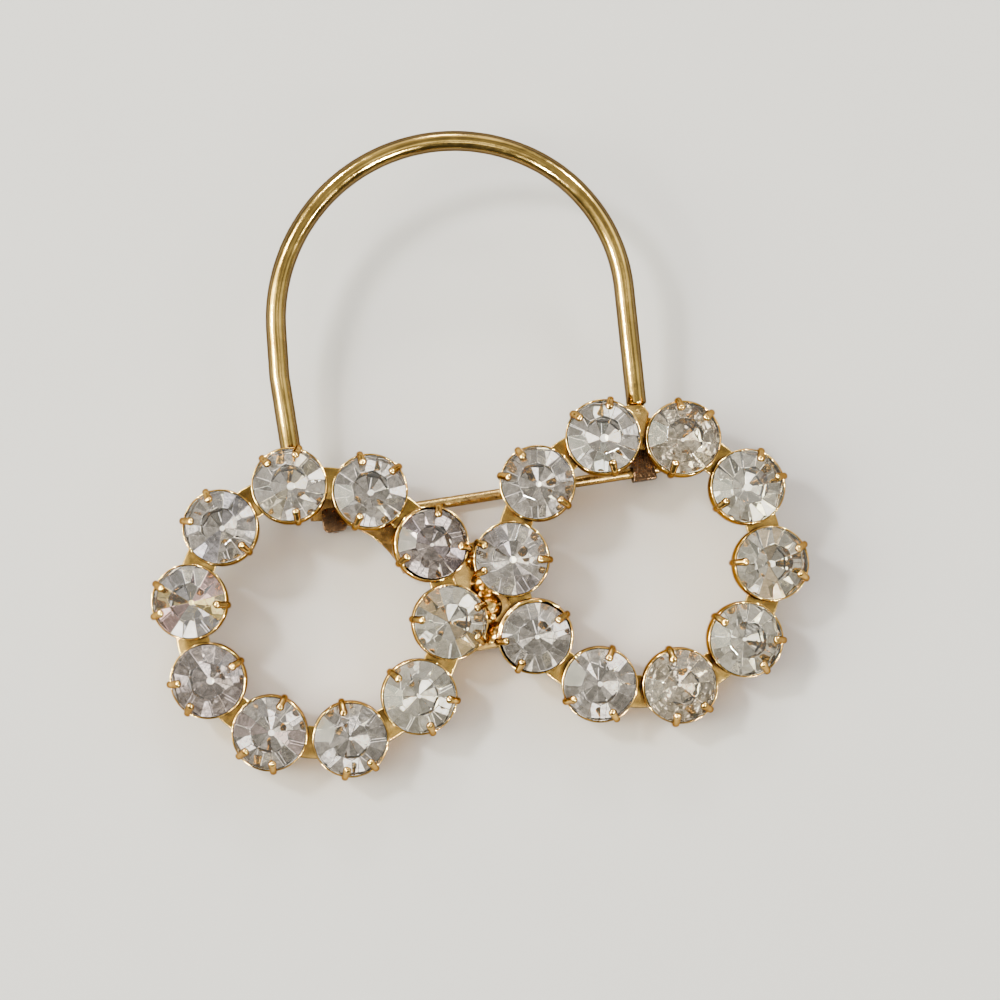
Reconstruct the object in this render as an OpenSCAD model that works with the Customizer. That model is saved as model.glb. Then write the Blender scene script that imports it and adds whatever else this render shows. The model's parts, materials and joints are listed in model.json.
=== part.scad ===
// Brooch of two rings of prong-set stones, with a bent wire arch above them.
// It lies on its back as it rests on a table: on the lower edges of its rings and on its pin.
// The shared frame has X along the pair of rings, Y towards the arch and Z up, out of the front.

/* [Stones] */
// Diameter of one round stone
stone_d = 5.15; // [4.9:0.05:5.2]
// Height of the crown above the girdle
crown_h = 0.95; // [0.8:0.05:1.1]
// Depth of the pavilion below the girdle
pavilion_h = 2.15; // [1.8:0.05:2.2]
// Width of the table, as a share of the stone's diameter
table_share = 0.54; // [0.48:0.01:0.6]

/* [Rings] */
// Stones in each ring
stones_per_ring = 10; // [8:1:10]
// Radius of the circle that the stones stand on
ring_r = 9.34; // [9.3:0.02:9.5]
// Distance between the centres of the two rings
ring_gap = 23.3; // [23.2:0.1:24]
// Direction of the left ring's first stone, in degrees
left_start = 94.6; // [90:0.1:100]
// Direction of the right ring's first stone, in degrees
right_start = 98.1; // [94:0.1:102]
// Outer radius of a ring plate
plate_out_r = 10.5; // [10.2:0.1:10.8]
// Inner radius of a ring plate
plate_in_r = 8.15; // [7.8:0.05:8.4]
// Thickness of a ring plate
plate_t = 0.5; // [0.4:0.05:0.7]

/* [Cups] */
// Wall of a cup at its rim
rim_t = 0.12; // [0.1:0.01:0.16]
// Height of a cup from the plate to its rim
cup_h = 2.6; // [2.5:0.05:2.8]
// Radius of a cup's flat bottom
cup_base_r = 2.05; // [1.8:0.05:2.2]
// Lean of each cup away from its ring's centre, in degrees
cup_lean = 5; // [0:0.5:6]
// Width of a prong where it leaves the rim
prong_w = 0.5; // [0.4:0.05:0.6]
// How far a prong reaches in over the crown from the rim
prong_reach = 0.95; // [0.7:0.05:1.05]
// Thickness of a prong
prong_t = 0.26; // [0.2:0.02:0.32]

/* [Arch wire] */
// Diameter of the wire
wire_d = 1.47; // [1.3:0.01:1.6]
// Radius of the arch's left and top bend, along the wire's middle
arch_left_r = 12.92; // [12.8:0.02:13]
// Radius of the arch's right bend
arch_right_r = 11.75; // [11.6:0.05:11.9]
// Direction in which the two bends meet, in degrees
arch_meet = 55; // [50:1:60]
// Place of the left bend's centre across the brooch
arch_x = 1.25; // [1.2:0.05:1.3]
// Place of the left bend's centre up the brooch
arch_y = 19.36; // [19.2:0.02:19.5]

/* [Pin] */
// How far up from the rings' centres the pin lies
pin_y = 6.5; // [6.3:0.1:6.7]
// Diameter of the pin's stem
stem_d = 0.8; // [0.7:0.05:0.9]
// Depth of the knuckle behind the plates
knuckle_depth = 2.1; // [2:0.05:2.4]
// Width of the knuckle along its own axle
knuckle_w = 1.8; // [1.6:0.1:2]
// Length of the catch along the stem
catch_l = 1.75; // [1.6:0.05:2]

/* [Hidden] */
$fn = 48;

gold = [0.83, 0.66, 0.33];
clear = [0.86, 0.88, 0.9];
step = 360 / stones_per_ring;

// Stone: gap to the metal all round, and the girdle's height above the plate
stone_gap = 0.03;
girdle_t = 0.1;
girdle_z = cup_h - 0.04;
stone_r = stone_d / 2;
table_r = stone_r * table_share;
facets = 8;
facet_step = 360 / facets;
// Each stone is dropped in at a turn of its own
stone_turn = 17;

// Cup: outer radius, wall of its lower part, and where its wall becomes upright
cup_r = stone_r + stone_gap + rim_t;
cup_wall = 0.26;
cup_bowl_z = 0.5;
cup_bowl_r = cup_r - 0.15;
cup_upright_z = 1.25;
// Height of the cup's base above the plate, and how far the hollow is cut past the rim
cup_base_h = 0.05;
hollow_past = 0.6;
// The cups' bottoms sink this far into the plates, so that they fuse
cup_sink = 0.2;
base_r = ring_r - girdle_z * sin(cup_lean);

// Prong: how far its shoulder stands out, how far its root sinks into the cup's wall, the
// rounding of its edges, and its angle seen along the cup's axis
prong_out = 0.24;
prong_sink = 0.06;
prong_round = 0.06;
prong_angle = prong_w / cup_r * 180 / PI;
crown_slope = atan2(crown_h - girdle_t, stone_r - table_r);

// Prongs of each cup, in degrees from straight outwards:
// [towards the stone before it, towards the stone after it]. A third prong points inwards.
left_prongs = [
    [32, -28], [38, -27], [48, -39], [33, -27], [35, -29],
    [28, -22], [28, -31], [26, -26], [27, -24], [31, -27]
];
right_prongs = [
    [36, -28], [27, -29], [34, -19], [31, -22], [36, -19],
    [35, -24], [45, -45], [28, -27], [25, -25], [26, -22]
];

// Arch wire: centre of the right bend, the directions in which the bends end, and the legs
wire_z = 1.1;
arch_right_x = arch_x + (arch_left_r - arch_right_r) * cos(arch_meet);
arch_right_y = arch_y + (arch_left_r - arch_right_r) * sin(arch_meet);
left_end = 175;
right_end = -3;
left_bend_x = arch_x + arch_left_r * cos(left_end);
left_bend_y = arch_y + arch_left_r * sin(left_end);
right_bend_x = arch_right_x + arch_right_r * cos(right_end);
right_bend_y = arch_right_y + arch_right_r * sin(right_end);
// Height at which the left leg straightens, and how far down each leg reaches
left_kink_y = 17.2;
left_foot_y = 11.7;
right_foot_y = 10;
left_kink_x = left_bend_x - (left_bend_y - left_kink_y) * tan(180 - left_end);
right_foot_x = right_bend_x - (right_bend_y - right_foot_y) * tan(-right_end);
// Each piece of the wire is this much thinner than the one that it runs into: a clean step
joint_step = 0.02;
joint_overlap = 0.3;
thin_d = wire_d - joint_step;

// Bridge: half widths at its lower end, waist and upper end
bridge_low_y = -4.5;
bridge_top_y = 3.3;
bridge_low_w = 2.7;
bridge_waist_w = 1.7;
bridge_top_w = 2.3;
bridge_t = plate_t + 0.15;

// Solder at the feet of the arch wire: [across, up, height of the middle, radius]
foot_solder = [
    [left_kink_x, left_foot_y + 0.1, 0.95, 0.8],
    [right_foot_x - 0.75, right_foot_y + 0.7, 0.75, 0.5],
    [right_foot_x + 0.7, right_foot_y + 0.55, 0.7, 0.45]
];

// Solder between the rings: [across, up, height of the middle, radius]
bridge_solder = [
    [0.15, 1.9, 1.05, 0.85],
    [0.35, 0.2, 1.2, 1.05],
    [0.4, -1.5, 1.1, 0.95],
    [0.65, -3.5, 1.05, 0.8]
];

// How the brooch rests: turned about X until the knuckle and the plates' edges touch the table
knuckle_y = pin_y - knuckle_w / 2;
rest_tilt = atan2(knuckle_depth, knuckle_y + plate_out_r);
rest_lift = plate_out_r * sin(rest_tilt);
top_y = (arch_y + arch_left_r + wire_d / 2) * cos(rest_tilt) - wire_z * sin(rest_tilt);
low_y = -(ring_r + cup_r + prong_out) * cos(rest_tilt) - (plate_t + girdle_z) * sin(rest_tilt);
rest_shift = -(top_y + low_y) / 2;

// Pin: place of the hinge and the catch, and the plates that they stand on
hinge_x = -9.6;
catch_x = 13.1;
pad_t = 0.45;
seat_gap = 0.03;
pad_z = -seat_gap - pad_t;
// The pad follows the left ring from and to these directions
pad_from = 16;
pad_to = 86;
pad_in_r = 6.6;
pad_out_r = 9.4;
foot_w = 2.1;
// The stem is held fast in the hook, and the hook's round touches the table with the knuckle
stem_tip = 1.3;
stem_point_l = 3;
stem_point_d = 0.2;
hook_wall = 0.35;
hook_r = stem_d / 2 - 0.03;
hook_out_r = hook_r + hook_wall;
stem_z = hook_out_r / cos(rest_tilt) - knuckle_depth - knuckle_w / 2 * tan(rest_tilt);
ear_r = knuckle_depth + stem_z;
ear_w = 0.45;

// Turns what is modelled flat on its plates into the pose in which the brooch rests
module resting() {
    translate([0, rest_shift, rest_lift])
        rotate([rest_tilt, 0, 0])
            children();
}

// Places a child on one ring at the place of stone i, with its X axis straight outwards
module at_stone(side, i) {
    start = side < 0 ? left_start : right_start;
    translate([side * ring_gap / 2, 0, plate_t])
        rotate([0, 0, start - (i - 1) * step])
            translate([base_r, 0, 0])
                rotate([0, cup_lean, 0])
                    children();
}

// Ring plate, flat on the table side
module plate() {
    difference() {
        cylinder(r = plate_out_r, h = plate_t);
        translate([0, 0, -1])
            cylinder(r = plate_in_r, h = plate_t + 2);
    }
}

// Outside of one cup, from its sunk bottom to its rim
module cup_body() {
    rotate_extrude()
        polygon([
            [0, -cup_sink],
            [cup_base_r, -cup_sink],
            [cup_base_r, cup_base_h],
            [cup_bowl_r, cup_bowl_z],
            [cup_r, cup_upright_z],
            [cup_r, cup_h],
            [0, cup_h]
        ]);
}

// Hollow of one cup, cut out past its rim
module cup_hollow() {
    inner_r = cup_r - rim_t;
    rotate_extrude()
        polygon([
            [0, cup_wall],
            [cup_base_r - cup_wall, cup_wall],
            [cup_bowl_r - cup_wall, cup_bowl_z + 0.1],
            [cup_r - cup_wall, cup_upright_z],
            [inner_r, cup_upright_z + 0.4],
            [inner_r, cup_h + hollow_past],
            [0, cup_h + hollow_past]
        ]);
}

// One prong: up the outside of the cup, over the rim and down along the crown
module prong(turn) {
    tip_r = cup_r - prong_reach;
    seat_z = girdle_z + girdle_t + 2 * stone_gap;
    tip_z = seat_z + (cup_r - tip_r) * tan(crown_slope);
    rotate([0, 0, turn - prong_angle / 2])
        rotate_extrude(angle = prong_angle)
            polygon([
                [cup_r - prong_sink, cup_upright_z],
                [cup_r + prong_out / 2, cup_upright_z + prong_out / 2],
                [cup_r + prong_out, girdle_z],
                [cup_r + prong_out - prong_round, girdle_z + prong_t],
                [tip_r + 2 * prong_round, tip_z + prong_t - prong_round],
                [tip_r, tip_z + prong_t / 2],
                [tip_r + prong_round, tip_z - stone_gap],
                [cup_r - prong_sink, seat_z]
            ]);
}

// The three prongs of the cup of stone i
module cup_prongs(side, i) {
    row = side < 0 ? left_prongs[i - 1] : right_prongs[i - 1];
    for (turn = [row[0], row[1], 180])
        prong(turn);
}

// A straight leg of the wire from one place to another, lengthened at its start
module wire_leg(x0, y0, x1, y1, d, start_overlap) {
    length = norm([x1 - x0, y1 - y0]) + start_overlap;
    translate([x1, y1, wire_z])
        rotate([0, 0, atan2(y0 - y1, x0 - x1)])
            rotate([0, 90, 0])
                cylinder(d = d, h = length);
}

// A bend of the wire about a centre, between two directions
module wire_bend(x, y, r, from, to, d) {
    translate([x, y, wire_z])
        rotate([0, 0, from])
            rotate_extrude(angle = to - from)
                translate([r, 0])
                    circle(d = d);
}

// Arch wire: a left bend, a right bend that runs into it, and a leg down to each ring
module arch() {
    meet_overlap = joint_overlap / arch_right_r * 180 / PI;
    leg_d = thin_d - joint_step;
    wire_bend(arch_x, arch_y, arch_left_r, arch_meet, left_end, wire_d);
    wire_bend(arch_right_x, arch_right_y, arch_right_r, right_end, arch_meet + meet_overlap, thin_d);
    wire_leg(left_bend_x, left_bend_y, left_kink_x, left_kink_y, thin_d, joint_overlap);
    translate([left_kink_x, left_kink_y, wire_z])
        sphere(d = wire_d);
    wire_leg(left_kink_x, left_kink_y, left_kink_x, left_foot_y, thin_d, 0);
    wire_leg(right_bend_x, right_bend_y, right_foot_x, right_foot_y, leg_d, joint_overlap);
}

// Drops of solder, one for each row of a table
module solder(rows) {
    for (row = rows)
        translate([row[0], row[1], row[2]])
            sphere(r = row[3]);
}

// Bridge plate between the rings, under the solder that fills it
module bridge() {
    linear_extrude(height = bridge_t)
        polygon([
            [-bridge_low_w, bridge_low_y],
            [bridge_low_w, bridge_low_y],
            [bridge_waist_w, 0],
            [bridge_top_w, bridge_top_y],
            [-bridge_top_w, bridge_top_y],
            [-bridge_waist_w, 0]
        ]);
}

// All the soldered metal
module frame() {
    color(gold)
        resting() {
            difference() {
                union() {
                    for (side = [-1, 1]) {
                        translate([side * ring_gap / 2, 0, 0])
                            plate();
                        for (i = [1:stones_per_ring])
                            at_stone(side, i)
                                cup_body();
                    }
                    arch();
                    bridge();
                    solder(foot_solder);
                    solder(bridge_solder);
                }
                for (side = [-1, 1])
                    for (i = [1:stones_per_ring])
                        at_stone(side, i)
                            cup_hollow();
            }
            for (side = [-1, 1])
                for (i = [1:stones_per_ring])
                    at_stone(side, i)
                        cup_prongs(side, i);
        }
}

// A ring of n points at one radius and height, turned by an offset
function around(n, r, z, offset) =
    [for (k = [0:n - 1]) [r * cos(offset + k * 360 / n), r * sin(offset + k * 360 / n), z]];

// Cut stone: table, 8 stars, 8 mains and 16 breaks on the crown, 8 mains and 16 breaks below
module cut_stone(turn) {
    star_r = table_r + (stone_r - table_r) * 0.52;
    star_z = girdle_t / 2 + (crown_h - girdle_t / 2) * 0.56;
    low_r = stone_r * 0.3;
    low_z = -pavilion_h * 0.72;
    n = facets;
    // Rings of points from the top: table, crown mains, girdle top, girdle foot, pavilion mains
    points = concat(
        around(n, table_r, crown_h, 0),
        around(n, star_r, star_z, facet_step / 2),
        around(2 * n, stone_r, girdle_t / 2, 0),
        around(2 * n, stone_r, -girdle_t / 2, 0),
        around(n, low_r, low_z, facet_step / 2),
        [[0, 0, -pavilion_h]]
    );
    table = [for (k = [0:n - 1]) n - 1 - k];
    stars = [for (k = [0:n - 1]) [k, (k + 1) % n, n + k]];
    mains = [for (k = [0:n - 1]) [k, n + k, 2 * n + 2 * k, n + (k + n - 1) % n]];
    breaks = [for (k = [0:n - 1]) each [
        [n + k, 2 * n + 2 * k + 1, 2 * n + 2 * k],
        [n + k, 2 * n + (2 * k + 2) % (2 * n), 2 * n + 2 * k + 1]
    ]];
    girdle = [for (k = [0:2 * n - 1])
        [2 * n + k, 2 * n + (k + 1) % (2 * n), 4 * n + (k + 1) % (2 * n), 4 * n + k]];
    under_breaks = [for (k = [0:n - 1]) each [
        [4 * n + 2 * k, 4 * n + 2 * k + 1, 6 * n + k],
        [4 * n + 2 * k + 1, 4 * n + (2 * k + 2) % (2 * n), 6 * n + k]
    ]];
    under_mains = [for (k = [0:n - 1])
        [6 * n + k, 7 * n, 6 * n + (k + n - 1) % n, 4 * n + 2 * k]];
    rotate([0, 0, turn])
        polyhedron(
            points = points,
            faces = concat([table], stars, mains, breaks, girdle, under_breaks, under_mains)
        );
}

// Stone i of one ring, in its cup
module stone(side, i) {
    color(clear)
        resting()
            at_stone(side, i)
                translate([0, 0, girdle_z])
                    cut_stone(stone_turn * (side + 2) * i);
}

// Plate that follows the left ring on its back, with a foot for the knuckle
module hinge_pad() {
    translate([-ring_gap / 2, 0, pad_z])
        rotate([0, 0, pad_from])
            rotate_extrude(angle = pad_to - pad_from)
                translate([pad_in_r, 0])
                    square([pad_out_r - pad_in_r, pad_t]);
    translate([hinge_x - foot_w / 2, pin_y - knuckle_w / 2, pad_z])
        cube([foot_w, knuckle_w, pad_t]);
}

// Two round ears that stand on the foot, and the barrel between them, where the stem begins
module knuckle() {
    stalk_w = ear_r * 1.7;
    for (side = [-1, 1])
        translate([hinge_x, pin_y + side * (knuckle_w - ear_w) / 2, 0]) {
            translate([0, 0, stem_z])
                rotate([90, 0, 0])
                    cylinder(r = ear_r, h = ear_w, center = true);
            translate([-stalk_w / 2, -ear_w / 2, stem_z])
                cube([stalk_w, ear_w, pad_z + pad_t / 2 - stem_z]);
        }
    translate([hinge_x, pin_y, stem_z])
        rotate([90, 0, 0])
            cylinder(r = ear_r * 0.85, h = knuckle_w - ear_w, center = true);
}

// Stem from the knuckle to its point past the catch
module stem() {
    shaft_l = catch_x + catch_l / 2 + stem_tip - hinge_x - stem_point_l;
    translate([hinge_x, pin_y, stem_z])
        rotate([0, 90, 0]) {
            cylinder(d = stem_d, h = shaft_l);
            translate([0, 0, shaft_l])
                cylinder(d1 = stem_d, d2 = stem_point_d, h = stem_point_l);
        }
}

// Catch: a foot under the right ring, a wall down from it and a hook round the stem
module catch() {
    wall_y = pin_y + hook_r;
    foot_from_y = pin_y - 0.7;
    foot_to_y = plate_in_r + 0.9;
    hook_from = -125;
    hook_to = 90;
    translate([catch_x - catch_l / 2, foot_from_y, pad_z])
        cube([catch_l, foot_to_y - foot_from_y, pad_t]);
    translate([catch_x - catch_l / 2, wall_y, stem_z])
        cube([catch_l, hook_wall, pad_z + pad_t / 2 - stem_z]);
    translate([catch_x, pin_y, stem_z])
        rotate([0, 90, 0])
            rotate([0, 0, hook_from])
                rotate_extrude(angle = hook_to - hook_from)
                    translate([hook_r, -catch_l / 2])
                        square([hook_wall, catch_l]);
}

// The pin on the back
module pin_back() {
    color(gold)
        resting() {
            hinge_pad();
            knuckle();
            stem();
            catch();
        }
}

frame();
pin_back();
for (i = [1:stones_per_ring])
    stone(-1, i);
for (i = [1:stones_per_ring])
    stone(1, i);
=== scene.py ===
"""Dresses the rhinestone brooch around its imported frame.

Each piece is shaped on the bench in millimetres, flat on the ring plates, with X along the
pair of rings, Y towards the arch and Z out of the front. It is then set down in the pose in
which the brooch rests on its back, in metres, with its place in its mesh.
"""

import json
import logging
import math
import random
from collections.abc import Callable, Iterator
from dataclasses import dataclass, field
from enum import Enum
from itertools import product

import bmesh
import bpy
from mathutils import Matrix, Vector

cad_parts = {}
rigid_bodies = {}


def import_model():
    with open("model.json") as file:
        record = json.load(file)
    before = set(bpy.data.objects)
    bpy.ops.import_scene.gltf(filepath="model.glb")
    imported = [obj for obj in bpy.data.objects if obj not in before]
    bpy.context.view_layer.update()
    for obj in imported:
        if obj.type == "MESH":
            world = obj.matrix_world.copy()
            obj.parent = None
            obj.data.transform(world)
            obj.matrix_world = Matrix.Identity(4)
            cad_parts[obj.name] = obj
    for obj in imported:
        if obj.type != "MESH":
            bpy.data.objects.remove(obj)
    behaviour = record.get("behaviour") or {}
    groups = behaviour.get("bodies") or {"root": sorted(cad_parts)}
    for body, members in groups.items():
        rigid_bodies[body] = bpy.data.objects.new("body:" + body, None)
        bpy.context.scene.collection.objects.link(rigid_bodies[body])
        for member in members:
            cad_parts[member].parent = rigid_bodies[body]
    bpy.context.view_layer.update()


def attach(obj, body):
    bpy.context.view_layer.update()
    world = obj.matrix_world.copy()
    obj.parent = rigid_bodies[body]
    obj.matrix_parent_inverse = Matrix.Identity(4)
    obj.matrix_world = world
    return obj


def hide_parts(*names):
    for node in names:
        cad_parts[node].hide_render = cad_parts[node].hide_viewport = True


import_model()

LOG = logging.getLogger("brooch")
MM = 0.001
BODY = "root"

# Points within this of each other are one point, in millimetres
HAIR = 1e-4
# An edge this near to a round line belongs to it, in millimetres
NEAR = 0.05
# A face whose normal reaches further than this along an axis looks that way
FACING = 0.5
# The angle, in degrees, that shades a piece smooth all over
ALL_ROUND = 180.0

Colour = tuple[float, float, float]
Point = tuple[float, float, float]
Span = tuple[float, float]
Reading = bpy.types.NodeSocket


def turned(degrees: float, axis: str | Vector) -> Matrix:
    """A turn about an axis."""
    return Matrix.Rotation(math.radians(degrees), 4, axis)


class Side(Enum):
    """The two rings, as seen from the front."""

    LEFT = -1
    RIGHT = 1

    @property
    def label(self) -> str:
        """The side's name in the names of pieces."""
        return self.name.lower()


class Pick(Enum):
    """What an operator is given to work on."""

    POINTS = "VERT"
    EDGES = "EDGE"
    FACES = "FACE"


class StoneTone(Enum):
    """How one stone has aged behind its foil."""

    CLEAR = "clear"
    STRAW = "straw"
    SMOKY = "smoky"
    CLOUDY = "cloudy"
    DIM = "dim"


@dataclass(frozen=True)
class Layout:
    """Sizes that several pieces share, in millimetres and degrees.

    The stones of each ring are numbered from 1, clockwise.
    """

    ring_gap: float = 23.3
    ring_r: float = 9.34
    stones: int = 10
    left_start: float = 94.6
    right_start: float = 98.1
    plate_out_r: float = 10.5
    plate_in_r: float = 8.15
    plate_t: float = 0.5
    cup_h: float = 2.6
    cup_r: float = 2.725
    cup_lean: float = 5.0
    girdle_z: float = 2.56
    stone_r: float = 2.575
    crown_h: float = 0.95
    pavilion_h: float = 2.15
    girdle_t: float = 0.1
    table_share: float = 0.5
    prong_out: float = 0.24
    wire_d: float = 1.47
    wire_z: float = 1.1
    arch_left_r: float = 12.92
    arch_right_r: float = 11.75
    arch_meet: float = 55.0
    arch_x: float = 1.25
    arch_y: float = 19.36
    pin_y: float = 6.5
    knuckle_depth: float = 2.1
    knuckle_w: float = 1.8

    # Stones that are small for their cup: their share of the size, and the side of the
    # cup that they lie against, in degrees from straight outwards
    small: dict[str, tuple[float, float]] = field(default_factory=lambda: {
        "left_3": (0.965, -48.0),
        "right_8": (0.955, 100.0),
    })

    @property
    def base_r(self) -> float:
        """Radius of the circle on which the leaning cups' feet stand."""
        return self.ring_r - self.girdle_z * math.sin(math.radians(self.cup_lean))

    @property
    def rest_tilt(self) -> float:
        """Angle about X, in radians, at which the plates and the knuckle touch the table."""
        return math.atan2(self.knuckle_depth, self.pin_y - self.knuckle_w / 2 + self.plate_out_r)

    @property
    def rest(self) -> Matrix:
        """The move from flat on the plates to the pose of rest.

        Returns:
            The move, in millimetres.
        """
        tilt = self.rest_tilt
        lift = self.plate_out_r * math.sin(tilt)
        top = self.arch_y + self.arch_left_r + self.wire_d / 2
        top_y = top * math.cos(tilt) - self.wire_z * math.sin(tilt)
        low = self.ring_r + self.cup_r + self.prong_out
        low_y = -low * math.cos(tilt) - (self.plate_t + self.girdle_z) * math.sin(tilt)
        return Matrix.Translation((0, -(top_y + low_y) / 2, lift)) @ Matrix.Rotation(tilt, 4, "X")

    def numbered(self) -> Iterator[tuple[Side, int]]:
        """Every stone's ring and number, one ring after the other."""
        return product(Side, range(1, self.stones + 1))

    def ring_x(self, side: Side) -> float:
        """The place across the brooch of one ring's centre."""
        return side.value * self.ring_gap / 2

    def bearing(self, side: Side, number: int) -> float:
        """The direction of a stone from its ring's centre, in degrees from +X."""
        start = self.left_start if side is Side.LEFT else self.right_start
        return start - (number - 1) * 360 / self.stones

    def at_stone(self, side: Side, number: int) -> Matrix:
        """The place and lean of one cup, with its X axis straight outwards.

        Args:
            side: The ring.
            number: The stone, from 1, clockwise.

        Returns:
            The move from the cup's own axes to the flat brooch, in millimetres.
        """
        return (
            Matrix.Translation((self.ring_x(side), 0, self.plate_t))
            @ turned(self.bearing(side, number), "Z")
            @ Matrix.Translation((self.base_r, 0, 0))
            @ turned(self.cup_lean, "Y")
        )


LAYOUT = Layout()


class Bench:
    """One workpiece, shaped with the operators of the hand tools, in millimetres."""

    FLAT = "flat"
    BALL_ROUNDS = 4
    ONE_PLANE = math.radians(0.5)

    def __init__(self, name: str, work: bpy.types.Object) -> None:
        """Takes up a mesh object.

        Args:
            name: The piece's name.
            work: The object that holds its mesh.
        """
        self.work = work
        work.name = name
        work.data.name = name

    @staticmethod
    def clear() -> None:
        """Leaves edit mode, with nothing selected."""
        if bpy.context.mode != "OBJECT":
            bpy.ops.object.mode_set(mode="OBJECT")
        bpy.ops.object.select_all(action="DESELECT")

    @classmethod
    def disc(cls, name: str, radius: float, points: int, place: Point, filled: bool) -> "Bench":
        """Starts a piece from a round outline.

        Args:
            name: The piece's name.
            radius: The outline's radius.
            points: The points in the outline.
            place: Its centre.
            filled: Whether the outline is closed by a face.

        Returns:
            The workpiece.
        """
        cls.clear()
        bpy.ops.mesh.primitive_circle_add(
            vertices=points,
            radius=radius,
            fill_type="NGON" if filled else "NOTHING",
            location=place,
        )
        return cls(name, bpy.context.object).settle()

    @classmethod
    def block(cls, name: str, size: Point, place: Point) -> "Bench":
        """Starts a piece from a squared block.

        Args:
            name: The piece's name.
            size: Its size along each axis.
            place: Its centre.

        Returns:
            The workpiece.
        """
        cls.clear()
        bpy.ops.mesh.primitive_cube_add(size=1, location=place)
        bpy.context.object.scale = size
        return cls(name, bpy.context.object).settle()

    @classmethod
    def rod(cls, name: str, radius: float, length: float, points: int, place: Point) -> "Bench":
        """Starts a piece from an upright rod.

        Args:
            name: The piece's name.
            radius: Its radius.
            length: Its length.
            points: The points round it.
            place: Its centre.

        Returns:
            The workpiece.
        """
        cls.clear()
        bpy.ops.mesh.primitive_cylinder_add(
            vertices=points, radius=radius, depth=length, location=place
        )
        return cls(name, bpy.context.object).settle()

    @classmethod
    def ball(cls, name: str, radius: float, place: Point) -> "Bench":
        """Starts a piece from a ball.

        Args:
            name: The piece's name.
            radius: Its radius.
            place: Its centre.

        Returns:
            The workpiece.
        """
        cls.clear()
        bpy.ops.mesh.primitive_ico_sphere_add(
            subdivisions=cls.BALL_ROUNDS, radius=radius, location=place
        )
        return cls(name, bpy.context.object).settle()

    def settle(self) -> "Bench":
        """Puts the object's place, turn and scale into its mesh.

        Returns:
            The workpiece.
        """
        self.hold()
        bpy.ops.object.transform_apply(location=True, rotation=True, scale=True)
        return self

    def hold(self) -> None:
        """Makes this the one selected and active object, out of edit mode."""
        self.clear()
        self.work.select_set(True)
        bpy.context.view_layer.objects.active = self.work

    def copy(self, name: str) -> "Bench":
        """Copies the workpiece, with its own mesh.

        Args:
            name: The copy's name.

        Returns:
            The copy.
        """
        self.hold()
        bpy.ops.object.duplicate(linked=False)
        return Bench(name, bpy.context.object)

    def take_in(self, *others: "Bench") -> "Bench":
        """Joins other workpieces into this one's mesh.

        Args:
            *others: The workpieces, which are used up.

        Returns:
            The workpiece.
        """
        self.hold()
        for other in others:
            other.work.select_set(True)
        bpy.ops.object.join()
        return self

    def drop(self) -> None:
        """Takes the workpiece off the bench."""
        self.hold()
        bpy.ops.object.delete()

    def pick(self, kind: Pick, test: Callable[[Vector, Vector], bool]) -> None:
        """Selects in edit mode what passes a test of its place.

        Args:
            kind: Points, edges or faces.
            test: Takes a point's place and normal, an edge's two ends, or a face's
                middle and normal.
        """
        if bpy.context.mode != "EDIT_MESH":
            self.hold()
            bpy.ops.object.mode_set(mode="EDIT")
        bpy.ops.mesh.select_mode(type=kind.value)
        bpy.ops.mesh.select_all(action="DESELECT")
        mesh = bmesh.from_edit_mesh(self.work.data)
        if kind is Pick.POINTS:
            rows = [(v, v.co, v.normal) for v in mesh.verts]
        elif kind is Pick.EDGES:
            rows = [(e, e.verts[0].co, e.verts[1].co) for e in mesh.edges]
        else:
            rows = [(f, f.calc_center_median(), f.normal) for f in mesh.faces]
        for item, first, second in rows:
            if test(first, second):
                item.select_set(True)
        mesh.select_flush_mode()
        bmesh.update_edit_mesh(self.work.data)

    def pick_all(self, kind: Pick = Pick.FACES) -> None:
        """Selects the whole workpiece in edit mode."""
        self.pick(kind, lambda first, second: True)

    def extrude(self, offset: Point | Vector, spread: float = 1) -> None:
        """Draws the selection out.

        Args:
            offset: How far it moves.
            spread: How much wider it gets across the Z axis.
        """
        bpy.ops.mesh.extrude_region_move(TRANSFORM_OT_translate={"value": offset})
        if spread != 1:
            self.resize((spread, spread, 1), (0, 0, 0))

    def resize(self, scale: Point, about: Point | Vector) -> None:
        """Scales the selection from a point."""
        bpy.ops.transform.resize(value=scale, center_override=about)

    def spin(self, steps: int, degrees: float, about: Point, axis: Point) -> None:
        """Draws the selection round an axis through a point, and merges what meets."""
        bpy.ops.mesh.spin(steps=steps, angle=math.radians(degrees), center=about, axis=axis)
        self.merge()

    def bevel(self, width: float, segments: int) -> None:
        """Rounds the selected edges by a width in a number of segments."""
        bpy.ops.mesh.bevel(offset=width, segments=segments, profile=0.5, affect="EDGES")

    def merge(self, reach: float = HAIR) -> None:
        """Merges points that lie close to each other, and turns faces outwards.

        Args:
            reach: How close.
        """
        self.pick_all(Pick.POINTS)
        bpy.ops.mesh.remove_doubles(threshold=reach)
        self.face_out()

    def keep_whole(self) -> None:
        """Takes away the crumbs that don't hang together with the topmost point."""
        self.hold()
        top = max(point.co.z for point in self.work.data.vertices)
        self.pick(Pick.POINTS, lambda place, normal: place.z == top)
        bpy.ops.mesh.select_linked()
        bpy.ops.mesh.select_all(action="INVERT")
        bpy.ops.mesh.delete(type="VERT")
        self.hold()

    def plane(self) -> None:
        """Makes one face of the faces that lie in one plane, and turns faces outwards."""
        self.pick_all()
        bpy.ops.mesh.dissolve_limited(angle_limit=self.ONE_PLANE)
        self.face_out()

    def face_out(self) -> None:
        """Turns all faces outwards."""
        self.pick_all()
        bpy.ops.mesh.normals_make_consistent(inside=False)

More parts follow.
